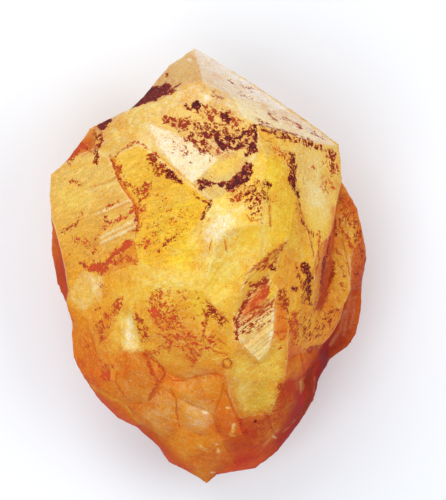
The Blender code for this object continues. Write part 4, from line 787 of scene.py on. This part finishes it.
    (0.62, 0.1, 1.0, 0.8, [(-13, -14.2), (-7.6, -17.4), (-4.9, -19.6), (-1.1, -22.3)]),
    (0.55, 0.0, 1.2, 0.9, [(-13.5, -17.4), (-13, -22.8), (-17.8, -25.5), (-16.8, -29.8)]),
    (0.6, 0.05, 0.5, 0.4, [(-1.1, -10.4), (-1.1, -17.4), (-1.6, -22.3)]),
    (0.56, 0.12, 1.5, 0, [(-18, -8), (-15.5, -5.5), (-11.5, -6.5), (-9.5, -11), (-7.5, -15), (-8, -18),
     (-12, -18.5), (-15.5, -16), (-18, -12)]),
    (0.66, 0.05, 1.2, 0, [(-17.5, -8.5), (-15.5, -10), (-12.5, -14.5), (-14.5, -17), (-17.5, -13)]),
    (0.62, 0.25, 1.0, 0, [(-22.5, -13), (-20, -13), (-17.5, -17.5), (-17, -21.5), (-19.5, -22), (-21, -18)]),
    (0.5, 0.3, 0.5, 0.4, [(-11, -7), (-2, -6.5)]),
    (0.52, 0.3, 0.5, 0.4, [(-10.5, -9.5), (-2.5, -8.5)]),
    (0.5, 0.3, 0.5, 0.4, [(-9, -12), (-2.5, -11)]),
    (0.5, 0.5, 0.5, 0.6, [(-7.5, -14), (-3.5, -14.5)]),
    (0.7, 0.4, 0.7, 0, [(-1.5, -9.5), (1.5, -11), (6, -15), (4, -17), (0.5, -14), (-0.3, -17.5),
     (-1.5, -15.5)]),
    (0.5, 0.0, 2.0, 0, [(-14, -19), (-8, -17), (-2, -19), (3, -19), (4, -24), (-3, -26), (-12, -24)]),
    (0.54, 0.1, 1.0, 0, [(-6.5, -23.5), (-3, -23), (-2, -27), (-5, -29.5), (-6.5, -27)]),
    (0.8, 0.0, 1.2, 1.4, [(-30, -29.5), (-30.5, -32.5)]),
    (0.32, 0.1, 1.5, 2.0, [(-37, -22), (-33, -28), (-30, -33)]),
    (0.62, 0.0, 1.0, 0.8, [(-18.5, -25), (-17, -29.8), (-14.9, -33.6), (-17.5, -38.4)]),
    (0.5, 0.0, 1.0, 0.7, [(-18.3, -25), (-15.6, -26.9), (-12.8, -30.8), (-14.2, -34.1)]),
    # the broken lower end
    (0.6, 0.35, 0.6, 0, [(8.5, -44.3), (10.2, -44.3), (10.7, -47.2), (13, -48), (15.2, -47.6), (13.5, -49.5),
     (10.5, -50.5), (9.3, -48)]),
    (0.9, 1.0, 0.3, 0.4, [(13.6, -45.4), (13.9, -45.5)]),
    (0.52, 0.3, 1.0, 0, [(20.5, -34.1), (24.3, -33.6), (25.3, -36), (22.4, -38.9), (20.5, -38.5)]),
    (1.05, 0.45, 0.8, 0, [(28.7, -31.2), (32, -27.8), (33.5, -24.5), (32.5, -28.8), (31.5, -33.6),
     (31.8, -39.9), (29.1, -43.8), (25.3, -46.7), (22.9, -48.6), (24.8, -45.7), (28.2, -42.3), (29.6, -38),
     (28.7, -34.6)]),
    (0.5, 0.2, 2.5, 3.0, [(12, -53), (19, -45), (24, -38)]),
]

# Thin cracks with iron in them: half their width, how dark the iron is, and the line.
cracks = [
    (0.22, 0.3, [(-18.5, -25), (-17.4, -28), (-16.6, -31), (-14.6, -33.8), (-16, -36), (-17.5, -38.6)]),
    (0.18, 0.4, [(-17.8, -25), (-15.6, -26.9), (-13.5, -29.5), (-12.8, -31.2), (-14.5, -33.8)]),
    (0.1, 0.3, [(-13, -31), (-10.5, -33), (-7, -33.3)]),
    (0.12, 0.3, [(-11, -36), (-9.5, -38.5), (-9.5, -43), (-8.5, -47.5)]),
    (0.16, 0.1, [(-15, -19), (-12.5, -20), (-11, -22), (-11.5, -24.5)]),
    (0.14, 0.1, [(-0.5, -20.5), (1.5, -21.5), (3, -20.5), (5, -22)], [(0, -23), (2.5, -24.5), (5.5, -25)]),
    (0.2, 0.9, [(4.3, -28), (4.6, -26.8), (5.8, -26.6), (6.9, -27.5), (6.6, -29), (5.2, -29.4),
     (4.3, -28.2)]),
    (0.18, 0.5, [(-0.5, -9.3), (1.5, -11), (5.8, -15.3)], [(-1, -12.5), (-0.5, -16), (-1.5, -20)]),
    (0.22, 0.7, [(22.5, 7.5), (19, 5), (15, 1.7), (11.5, -1.3)]),
    (0.14, 0.7, [(29, 12.5), (30, 8.5), (31, 3.5)]),
    (0.16, 0.6, [(11.5, 15.2), (12.2, 14.2), (13.5, 13.8), (15, 14.2)]),
    (0.16, 0.5, [(18, 18.2), (17.8, 15.5), (18.1, 12.5)]),
    (0.12, 0.5, [(1, 8), (0.5, 5.5)], [(5, 8), (5.5, 5)]),
    (0.14, 0.2, [(5.5, -36.3), (7, -41), (9, -45)]),
    (0.16, 0.6, [(17.5, -43.5), (19, -48), (20.5, -51)], [(27.5, -25.5), (28.5, -31), (28, -37)]),
    (0.16, 0.2, [(-27, -31), (-27.5, -34), (-25, -38)]),
    (0.14, 0.2, [(40, 8.5), (41.5, 2), (42.8, -6)]),
    (0.16, 0.5, [(-28.3, 32), (-26, 25.2), (-21.8, 19.3), (-20.5, 14)]),
]


paint = {
    "driftSize": 7.0,  # mm over which the colours of the sides and the loose iron drift
    "sideDull": 0.75,
    "sideColourDrift": 6.0,  # mm that the colours of the sides wander up and down
    "mixRounds": 30,  # rounds that carry a face's colour over into its neighbours
    "ridgeRounds": 5,  # rounds that find the ridges and the creases
    # the outlines of the veils and of the painted highlights and glare wander alike
    "veilAndHighlightWander": 0.25,  # mm that the veils' outlines wander
    "veilAndHighlightWanderSize": 1.6,
    "stainWander": 0.7,  # the same for the stains
    "stainWanderSize": 2.2,
    "looseIron": 0.02,  # iron away from the stains, how much it drifts and how dark it is
    "looseIronDrift": 0.10,
    "looseDark": 0.25,
    "hiddenIron": 0.42,  # how rusty, and how dark, the sides and the underside are
    "hiddenDark": 0.3,
    "hiddenPatches": ((0.5, 14.0), (0.25, 4.0)),  # how far that rust varies, over how many mm
    "hiddenDarkPatches": (0.6, 11.0),  # the same for how dark it is
    "hiddenIronLimit": 0.9,
    "gapLimit": 9.0,  # crack gaps are kept up to this many half widths
    "crackFade": (4.0, 7.0),  # half widths, between which a crack's rust fades out
    "edgeLimit": 3,  # mm from a face's outline, past which it doesn't matter
    "darkest": 0.002,  # no linear colour is below this
}


def sideTint(places, drift):
    rows = [toLinear(palette[name]) for _, name in sideColours]
    stops = [stop for stop, _ in sideColours]
    at = places[:, 1] + paint["sideColourDrift"] * drift
    return np.stack([np.interp(at, stops, [row[n] for row in rows]) for n in range(3)], axis=1)


def faceTint(face, x, y):
    # the face's first colour turning into its second along the direction of change
    _, first, last, angle, _, points = face
    ends = [turned(angle, px, py)[0] for px, py in points]
    share = smoothStep(min(ends), max(ends), turned(angle, x, y)[0])[:, None]
    return (1 - share) * np.array(toLinear(palette[first])) + share * np.array(toLinear(palette[last]))


def paintFaces(places, plain, ends, corners, faceOf, drift):
    # each corner's colour, dullness, streaks, distance to its face's outline, and grain
    flat = corners.ravel()
    cornerFace = np.repeat(faceOf, 3)
    tint = sideTint(places, drift)[flat]
    dull = np.full(len(flat), paint["sideDull"])
    streak = np.full(len(flat), skins["etched"]["streak"])
    blend = np.full((len(flat), 1), skins["etched"]["blend"])
    edgeGap = np.full(len(flat), 9.0)
    grain = np.stack([places[flat, 1], places[flat, 0] + places[flat, 2], places[flat, 2]], axis=1)
    for number, face in enumerate(faces):
        here = np.flatnonzero(cornerFace == number)
        x, y = plain[flat[here], 0], plain[flat[here], 1]
        skin = skins[face[0]]
        tint[here] = faceTint(face, x, y)
        dull[here] = skin["dull"]
        streak[here] = skin["streak"]
        blend[here] = skin["blend"]
        edgeGap[here] = np.abs(insideGap(x, y, face[5]))
        along, across = turned(face[4], x, y)
        grain[here, 0] = skin["along"] * along
        grain[here, 1] = skin["across"] * across
    count = np.bincount(flat, minlength=len(places))
    mean = np.stack([np.bincount(flat, tint[:, n], len(places)) / count for n in range(3)], axis=1)
    mean = relax(mean, ends, paint["mixRounds"])
    tint = (1 - blend) * tint + blend * mean[flat]
    return tint, dull, streak, np.minimum(edgeGap, paint["edgeLimit"]), grain


# paints the veils, and the painted glare, highlights, glints and glow, over the faces' colours
def paintVeilsAndHighlights(tint, places, flat, seen):
    x = places[:, 0] + paint["veilAndHighlightWander"] * wander(places, paint["veilAndHighlightWanderSize"], 22)
    y = places[:, 1] + paint["veilAndHighlightWander"] * wander(places, paint["veilAndHighlightWanderSize"], 23)
    for colour, strength, soft, width, *outlines in veilsAndHighlights:
        for points in outlines:
            mask = (seen * strength * coverOf(points, width, soft, x, y))[flat][:, None]
            tint = tint * (1 - mask) + np.array(toLinear(palette[colour])) * mask
    return tint


def paintStains(places, seen, drift):
    # how much iron there is at each point, and how dark it is
    x = places[:, 0] + paint["stainWander"] * wander(places, paint["stainWanderSize"], 24)
    y = places[:, 1] + paint["stainWander"] * wander(places, paint["stainWanderSize"], 25)
    iron = paint["looseIron"] + paint["looseIronDrift"] * drift
    dark = np.full(len(places), paint["looseDark"])
    for cover, darkness, soft, width, *outlines in stains:
        for points in outlines:
            mask = seen * coverOf(points, width, soft, x, y)
            stronger = mask * cover > iron
            dark = np.where(stronger, dark + mask * (darkness - dark), dark)
            iron = np.maximum(iron, mask * cover)
    # the sides and the underside are rusty in patches
    patchy = paint["hiddenIron"]
    for seed, (strength, size) in enumerate(paint["hiddenPatches"], start=31):
        patchy = patchy + strength * wander(places, size, seed)
    patchy = np.clip(patchy, 0, paint["hiddenIronLimit"])
    strength, size = paint["hiddenDarkPatches"]
    patchyDark = np.clip(paint["hiddenDark"] + strength * wander(places, size, 33), 0, 1)
    iron = iron + (1 - seen) * (patchy - iron)
    dark = dark + (1 - seen) * (patchyDark - dark)
    return iron, dark


def paintCracks(places, seen):
    # kept as a signed distance in half widths, so that a crack stays thin
    limit = paint["gapLimit"]
    crackGap = np.full(len(places), limit)
    crackDark = np.zeros(len(places))
    crackNear = np.zeros(len(places))
    for halfWidth, darkness, *lines in cracks:
        for points in lines:
            gap = lineGap(places[:, 0], places[:, 1], points) / halfWidth
            closer = np.abs(gap) < np.abs(crackGap)
            crackGap = np.where(closer, gap, crackGap)
            crackDark = np.where(closer, darkness, crackDark)
            fade = smoothStep(*paint["crackFade"], np.abs(gap))
            crackNear = np.maximum(crackNear, seen * (1 - fade))
    return np.clip(crackGap, -limit, limit), crackDark, crackNear


def addLayer(mesh, name, kind, domain, values):
    field = {"FLOAT": "value", "FLOAT_VECTOR": "vector", "FLOAT_COLOR": "color"}[kind]
    mesh.attributes.new(name, kind, domain).data.foreach_set(field, np.ravel(values))


def paintStone(stone, faceOf, plain):
    # stores the colours, the stains, the cracks, the dullness and the grain on the mesh
    mesh = stone.data
    places, normals = vertexData(mesh)
    corners, _, _ = triangleData(mesh)
    flat = corners.ravel()
    ends = edgeEnds(mesh)
    ridge = ridgeOf(places, normals, ends, paint["ridgeRounds"])
    seen = smoothStep(-0.15, 0.15, normals[:, 2])
    drift = wander(places, paint["driftSize"], 21)
    tint, dull, streak, edgeGap, grain = paintFaces(places, plain, ends, corners, faceOf, drift)
    tint = paintVeilsAndHighlights(tint, places, flat, seen)
    # painted shade: the steep sides are darkened, against the pale sheen they catch at a grazing angle
    steep = smoothStep(0.8, 0.0, np.abs(normals[flat, 2]))[:, None]
    tint = np.clip(tint - steepShade * steep, paint["darkest"], 1)
    iron, dark = paintStains(places, seen, drift)
    crackGap, crackDark, crackNear = paintCracks(places, seen)

    addLayer(mesh, "bodyTint", "FLOAT_COLOR", "CORNER", np.column_stack([tint, np.ones(len(tint))]))
    addLayer(mesh, "grain", "FLOAT_VECTOR", "CORNER", grain)
    for name, values in (("dull", dull), ("streak", streak), ("edgeGap", edgeGap)):
        addLayer(mesh, name, "FLOAT", "CORNER", values)
    ridge = np.clip(ridge / crystal["ridgeHeight"], -1, 1)
    for name, values in (("ridge", ridge), ("iron", iron), ("dark", dark), ("crackGap", crackGap),
                         ("crackDark", crackDark), ("crackNear", crackNear)):
        addLayer(mesh, name, "FLOAT", "POINT", values)
    print("stone painted,", len(veilsAndHighlights), "rows of veils and", len(stains), "of stains")


# Beryl, grown in a pocket and etched by groundwater: glassy where a face is clean, dull where
# iron has soaked in. Its index is 1.57 to 1.58.
stoneFinish = {
    "ior": 1.575,
    "specular": 0.12,
    "bumpStrength": 0.6,
    "bumpDepth": 0.10,  # mm
    # the body's own colour is multiplied by these
    "zoneTint": "#F2B968",
    "clearTint": "#FFEA90",
    "veinTint": "#DD9A4E",
    "seamTint": "#D98A48",
    "haloTint": "#E59A4C",
    # and mixed with these
    "wispHex": "#F3E2AE",
    "glowHex": "#FBEDB4",
    "rimHex": "#F6E6C0",
    # iron, from fresh rust at the edge of a fleck to old oxide in its middle
    "freshHex": "#CE4C22",
    "rustHex": "#AC3E16",
    "oxideHex": "#862010",
    "maroonHex": "#480C0E",
}

# Noise over the stone: features per mm, detail, roughness and how twisted it is, and for those that
# lie along the grain of each face, how much they are squeezed along it, across it and in depth.
patterns = {
    "zones": (0.17, 4.0, 0.6, 0.0, None),  # growth zones 6 mm across
    "wisps": (0.30, 5.0, 0.65, 0.8, (0.45, 1.0, 1.0)),  # milky wisps of 3 mm and more
    "clear": (0.55, 4.0, 0.6, 0.0, None),  # clear patches of 2 mm
    "lines": (1.0, 4.0, 0.6, 0.0, (0.10, 1.3, 0.5)),  # growth streaks 0.5 mm apart, drawn at 0.7 mm
    "grit": (2.0, 3.0, 0.6, 0.0, None),  # etch pits of 0.1 mm, drawn at 0.5 mm
    "veins": (0.75, 3.0, 0.6, 0.8, None),  # a net of veins 1.3 mm across
    "glow": (1.6, 2.0, 0.6, 0.0, None),  # bright places of 0.6 mm
    "fleck": (0.75, 3.5, 0.60, 0.9, (1.0, 1.0, 1.0)),  # iron flecks of 0.3 to 1 mm
    "worm": (0.95, 2.0, 0.5, 1.2, (1.0, 1.0, 1.0)),  # thin crooked lines between the flecks
    "bare": (1.3, 2.0, 0.6, 0.0, None),  # bare places of 0.8 mm in the stains
    "age": (1.3, 3.0, 0.6, 0.0, None),  # older and fresher flecks
    "maroon": (1.1, 3.0, 0.6, 0.0, None),  # blackened spots of 1 mm
}


# The kinds of step below: Blender's node, its settings, and the inputs that a row fills in order.
# Any other step is the arithmetic of that name.
stepKinds = {
    "ramp": ("ShaderNodeMapRange", {"interpolation_type": "SMOOTHSTEP"},
             ("Value", "From Min", "From Max", "To Min", "To Max")),
    "mix": ("ShaderNodeMix", {"data_type": "RGBA"}, (0, 6, 7)),
    "tint": ("ShaderNodeMix", {"data_type": "RGBA", "blend_type": "MULTIPLY"}, (0, 6, 7)),
    "shade": ("ShaderNodeVectorMath", {"operation": "SCALE"}, (0, "Scale")),
    "limitedSum": ("ShaderNodeMath", {"operation": "MULTIPLY_ADD", "use_clamp": True}, (0, 1, 2)),
}

# How the finish is built up: the name of a result, the step, and what goes into it, which is a number,
# a colour of the finish, a pattern, a layer painted on the mesh, or an earlier result. A ramp has two
# values of its source and what it gives at each. Colours are mixed by a share.
finishSteps = [
    # cloudy places, and rough broken faces
    ("pale", "ramp", "paleness", 0.12, 0.45, 0, 1),
    ("broken", "ramp", "dull", 0.35, 0.60, 0, 1),
    # warmer growth zones, and milky wisps
    ("warm", "ramp", "zones", 0.45, 0.70, 0, 1),
    ("warmest", "MULTIPLY_ADD", "broken", 0.3, 0.3),
    ("warm", "MULTIPLY", "warm", "warmest"),
    ("body", "tint", "warm", "body", "zoneTint"),
    ("milky", "ramp", "wisps", 0.52, 0.75, 0, 0.15),
    ("milky", "MULTIPLY", "milky", "pale"),
    ("body", "mix", "milky", "body", "wispHex"),
    # growth streaks and the etched grain change the brightness
    ("linesOver", "SUBTRACT", "lines", 0.5),
    ("gritOver", "SUBTRACT", "grit", 0.5),
    ("streakDepth", "MULTIPLY", "streak", 0.7),
    ("brightness", "MULTIPLY_ADD", "linesOver", "streakDepth", 1.0),
    ("brightness", "MULTIPLY_ADD", "gritOver", 0.5, "brightness"),
    # a net of fine orange veins, where the pattern passes its middle value
    ("veinGap", "SUBTRACT", "veins", 0.5),
    ("veinGap", "ABSOLUTE", "veinGap"),
    ("vein", "ramp", "veinGap", 0.0, 0.035, 1, 0),
    ("veinDepth", "ramp", "zones", 0.35, 0.6, 0.15, 0.55),
    ("vein", "MULTIPLY", "vein", "veinDepth"),
    ("body", "tint", "vein", "body", "veinTint"),
    # small bright places
    ("bright", "ramp", "glow", 0.60, 0.66, 0, 0.25),
    ("bright", "MULTIPLY", "bright", "pale"),
    ("body", "mix", "bright", "body", "glowHex"),
    # clear patches look deeper yellow than the cloudy ones, most of all on the broken faces
    ("deep", "ramp", "clear", 0.40, 0.58, 0, 1),
    ("deepest", "MULTIPLY_ADD", "broken", 0.6, 0.35),
    ("deep", "MULTIPLY", "deep", "deepest"),
    ("body", "tint", "deep", "body", "clearTint"),
    # worn ridges are pale, and thin lines of light follow them
    ("edge", "MULTIPLY_ADD", "gritOver", 0.5, "edgeGap"),
    ("rim", "ramp", "edge", 0.15, 0.45, 1, 0),
    ("crest", "ramp", "ridge", 0.15, 0.6, 0, 1),
    ("rim", "MULTIPLY", "rim", "crest"),
    ("rimDepth", "MULTIPLY", "streak", 0.25),
    ("rim", "MULTIPLY", "rim", "rimDepth"),
    ("body", "mix", "rim", "body", "rimHex"),
    # creases hold iron
    ("seam", "ramp", "edge", 0.2, 0.6, 1, 0),
    ("crease", "ramp", "ridge", -0.15, -0.5, 0, 1),
    ("seam", "MULTIPLY", "seam", "crease"),
    ("seam", "MULTIPLY", "seam", 0.35),
    ("body", "tint", "seam", "body", "seamTint"),
    # iron flecks with crooked lines between them: level is how far inside a fleck a place is
    ("wormGap", "SUBTRACT", "worm", 0.5),
    ("wormGap", "ABSOLUTE", "wormGap"),
    ("wormLine", "ramp", "wormGap", 0.015, 0.06, 1, 0),
    ("wormLine", "MULTIPLY", "wormLine", 0.28),
    ("spots", "ramp", "fleck", 0.32, 0.68, 0, 1),
    ("spots", "MULTIPLY_ADD", "spots", 0.72, "wormLine"),
    ("ironOver", "SUBTRACT", "iron", 1.0),
    ("level", "ADD", "spots", "ironOver"),
    ("bared", "ramp", "bare", 0.56, 0.64, 0, 0.35),
    ("level", "SUBTRACT", "level", "bared"),
    # a warm halo round the flecks, and over all of a rusty place
    ("halo", "ramp", "level", -0.12, 0.0, 0, 0.7),
    ("haze", "ramp", "iron", 0.3, 0.9, 0, 0.18),
    ("halo", "MAXIMUM", "halo", "haze"),
    ("body", "tint", "halo", "body", "haloTint"),
    # rust, from fresh at a fleck's edge to old
    ("rust", "ramp", "level", -0.01, 0.03, 0, 1),
    ("rustDepth", "ramp", "iron", 0.1, 0.5, 0.5, 1),
    ("rust", "MULTIPLY", "rust", "rustDepth"),
    ("older", "ADD", "dark", "age"),
    ("youngEdge", "ramp", "level", 0.02, 0.08, 0.25, 0),
    ("older", "ADD", "older", "youngEdge"),
    ("older", "ramp", "older", 0.42, 0.82, 0, 1),
    ("rustColour", "mix", "older", "freshHex", "rustHex"),
    ("body", "mix", "rust", "body", "rustColour"),
    # oxide and maroon in the middle of the darker flecks
    ("oxide", "ramp", "level", 0.04, 0.10, 0, 1),
    ("oxideDepth", "ramp", "dark", 0.1, 0.6, 0, 1),
    ("oxide", "MULTIPLY", "oxide", "oxideDepth"),
    ("body", "mix", "oxide", "body", "oxideHex"),
    ("core", "ramp", "level", 0.12, 0.22, 0, 1),
    ("coreDepth", "ramp", "dark", 0.35, 0.9, 0, 1),
    ("core", "MULTIPLY", "core", "coreDepth"),
    ("coreSpots", "ramp", "maroon", 0.40, 0.52, 0.25, 1),
    ("core", "MULTIPLY", "core", "coreSpots"),
    ("body", "mix", "core", "body", "maroonHex"),
    ("body", "shade", "body", "brightness"),
    # cracks, made crooked by the flecks' pattern; their gap is in half widths
    ("fleckOver", "SUBTRACT", "fleck", 0.5),
    ("gap", "MULTIPLY_ADD", "fleckOver", 9.0, "crackGap"),
    ("gap", "ABSOLUTE", "gap"),
    ("crackHalo", "ramp", "gap", 0.5, 4.0, 0.45, 0),
    ("crackHalo", "MULTIPLY", "crackHalo", "crackNear"),
    ("body", "tint", "crackHalo", "body", "haloTint"),
    ("crack", "ramp", "gap", 0.4, 1.5, 0.85, 0),
    ("crack", "MULTIPLY", "crack", "crackNear"),
    ("crackBreaks", "ramp", "grit", 0.40, 0.55, 0, 1),
    ("crack", "MULTIPLY", "crack", "crackBreaks"),
    ("crackColour", "mix", "crackDark", "freshHex", "oxideHex"),
    ("body", "mix", "crack", "body", "crackColour"),
    # rust is duller than the stone
    ("rough", "MULTIPLY_ADD", "rust", 0.2, "dull"),
    ("rough", "limitedSum", "gritOver", 0.3, "rough"),
    # etched skin, growth lines and the rough crust of the stains stand up
    ("height", "MULTIPLY", "grit", 0.6),
    ("height", "MULTIPLY_ADD", "lines", "streak", "height"),
    ("height", "MULTIPLY_ADD", "rust", 0.15, "height"),
]


def stoneMaterial():
    material = bpy.data.materials.new("ironStainedBeryl")
    material.use_nodes = True
    tree = material.node_tree
    tree.nodes.clear()

    # the layers painted on the mesh
    made = {}
    for name in ("dull", "streak", "ridge", "iron", "dark", "edgeGap", "crackGap", "crackDark", "crackNear"):
        made[name] = addNode(tree, "ShaderNodeAttribute", {"attribute_name": name}).outputs["Fac"]
    tint = addNode(tree, "ShaderNodeAttribute", {"attribute_name": "bodyTint"})
    made["body"] = tint.outputs["Color"]
    made["paleness"] = tint.outputs["Fac"]

    # the patterns, in millimetres of the stone or along the grain of its faces
    place = addNode(tree, "ShaderNodeTexCoord").outputs["Object"]
    settings = {"operation": "SCALE", "Scale": 1 / mm}
    spot = addNode(tree, "ShaderNodeVectorMath", settings, {0: place}).outputs[0]
    grain = addNode(tree, "ShaderNodeAttribute", {"attribute_name": "grain"}).outputs["Vector"]
    for name, (scale, detail, rough, twist, squeeze) in patterns.items():
        vector = spot
        if squeeze:
            settings = {"operation": "MULTIPLY", 1: squeeze}
            vector = addNode(tree, "ShaderNodeVectorMath", settings, {0: grain}).outputs[0]
        settings = {"Scale": scale, "Detail": detail, "Roughness": rough, "Distortion": twist}
        made[name] = addNode(tree, "ShaderNodeTexNoise", settings, {"Vector": vector}).outputs["Fac"]

    for name, step, *terms in finishSteps:
        kind, fixed, slots = stepKinds.get(step, ("ShaderNodeMath", {"operation": step}, (0, 1, 2)))
        settings = dict(fixed)
        links = {}
        for slot, term in zip(slots, terms):
            if term in made:
                links[slot] = made[term]
            elif isinstance(term, str):
                settings[slot] = toLinear(stoneFinish[term]) + [1]
            else:
                settings[slot] = term
        node = addNode(tree, kind, settings, links)
        made[name] = [output for output in node.outputs if output.enabled][0]

    settings = {"Strength": stoneFinish["bumpStrength"], "Distance": stoneFinish["bumpDepth"] * mm}
    bump = addNode(tree, "ShaderNodeBump", settings, {"Height": made["height"]})
    settings = {"IOR": stoneFinish["ior"], "Specular IOR Level": stoneFinish["specular"]}
    shader = addNode(tree, "ShaderNodeBsdfPrincipled", settings, {
        "Base Color": made["body"], "Roughness": made["rough"], "Normal": bump.outputs[0]})
    addNode(tree, "ShaderNodeOutputMaterial", {}, {"Surface": shader.outputs[0]})
    print("finish made:", len(tree.nodes), "nodes")
    return material


floor = {"size": 3.0, "hex": "#F1F4F8", "roughness": 0.6}


def makeFloor():
    mesh = bpy.data.meshes.new("floor")
    half = floor["size"] / 2
    mesh.from_pydata([(-half, -half, 0), (half, -half, 0), (half, half, 0), (-half, half, 0)], [],
                     [(0, 1, 2, 3)])
    plane = bpy.data.objects.new("floor", mesh)
    bpy.context.scene.collection.objects.link(plane)
    material = bpy.data.materials.new("palePaper")
    material.use_nodes = True
    shader = material.node_tree.nodes["Principled BSDF"]
    shader.inputs["Base Color"].default_value = toLinear(floor["hex"]) + [1]
    shader.inputs["Roughness"].default_value = floor["roughness"]
    mesh.materials.append(material)
    print("floor laid")


# Lights by place in metres, size in metres and power in watts; all face the stone.
lights = {
    "window": {"at": (-0.46, 0.84, 0.80), "size": 1.0, "power": 7.2, "hex": "#FFFFFF"},
    "sky": {"at": (-0.5, -0.6, 1.4), "size": 1.3, "power": 10.0, "hex": "#FFFEFA"},
    "right": {"at": (0.9, 0.1, 0.9), "size": 0.8, "power": 4.5, "hex": "#FFFFFF"},
}
lightAim = (0, 0, 0.04)
skyLight = {"hex": "#EAEEF5", "strength": 0.55}
# The aim and the height of the seen area are in mm, the distance in metres.
camera = {"aim": (4.4, 5.4, 40.0), "distance": 1.0, "seenHeight": 148.7, "sensor": 36.0}


def makeLights():
    for name, setting in lights.items():
        lamp = bpy.data.lights.new(name, "AREA")
        lamp.shape = "SQUARE"
        lamp.size = setting["size"]
        lamp.energy = setting["power"]
        lamp.color = toLinear(setting["hex"])
        thing = bpy.data.objects.new(name, lamp)
        thing.location = setting["at"]
        aim = Vector(lightAim) - thing.location
        thing.rotation_euler = aim.to_track_quat("-Z", "Y").to_euler()
        bpy.context.scene.collection.objects.link(thing)
    world = bpy.data.worlds.new("studio")
    world.use_nodes = True
    sky = world.node_tree.nodes["Background"]
    sky.inputs["Color"].default_value = toLinear(skyLight["hex"]) + [1]
    sky.inputs["Strength"].default_value = skyLight["strength"]
    bpy.context.scene.world = world
    print("lights made")


def makeCamera():
    # straight down, with the point of the stone towards the top of the frame
    lens = bpy.data.cameras.new("camera")
    lens.sensor_width = camera["sensor"]
    lens.lens = camera["sensor"] * camera["distance"] / (camera["seenHeight"] * mm)
    thing = bpy.data.objects.new("camera", lens)
    thing.location = Vector(camera["aim"]) * mm + Vector((0, 0, camera["distance"]))
    bpy.context.scene.collection.objects.link(thing)
    bpy.context.scene.camera = thing
    print("camera placed")


makeCamera()
makeLights()
makeFloor()
bpy.context.scene.view_settings.view_transform = "Standard"
stone, faceOf, plain = refineCrystal()
paintStone(stone, faceOf, plain)
stone.data.materials.append(stoneMaterial())
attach(stone, "root")
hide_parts(crystal["node"])
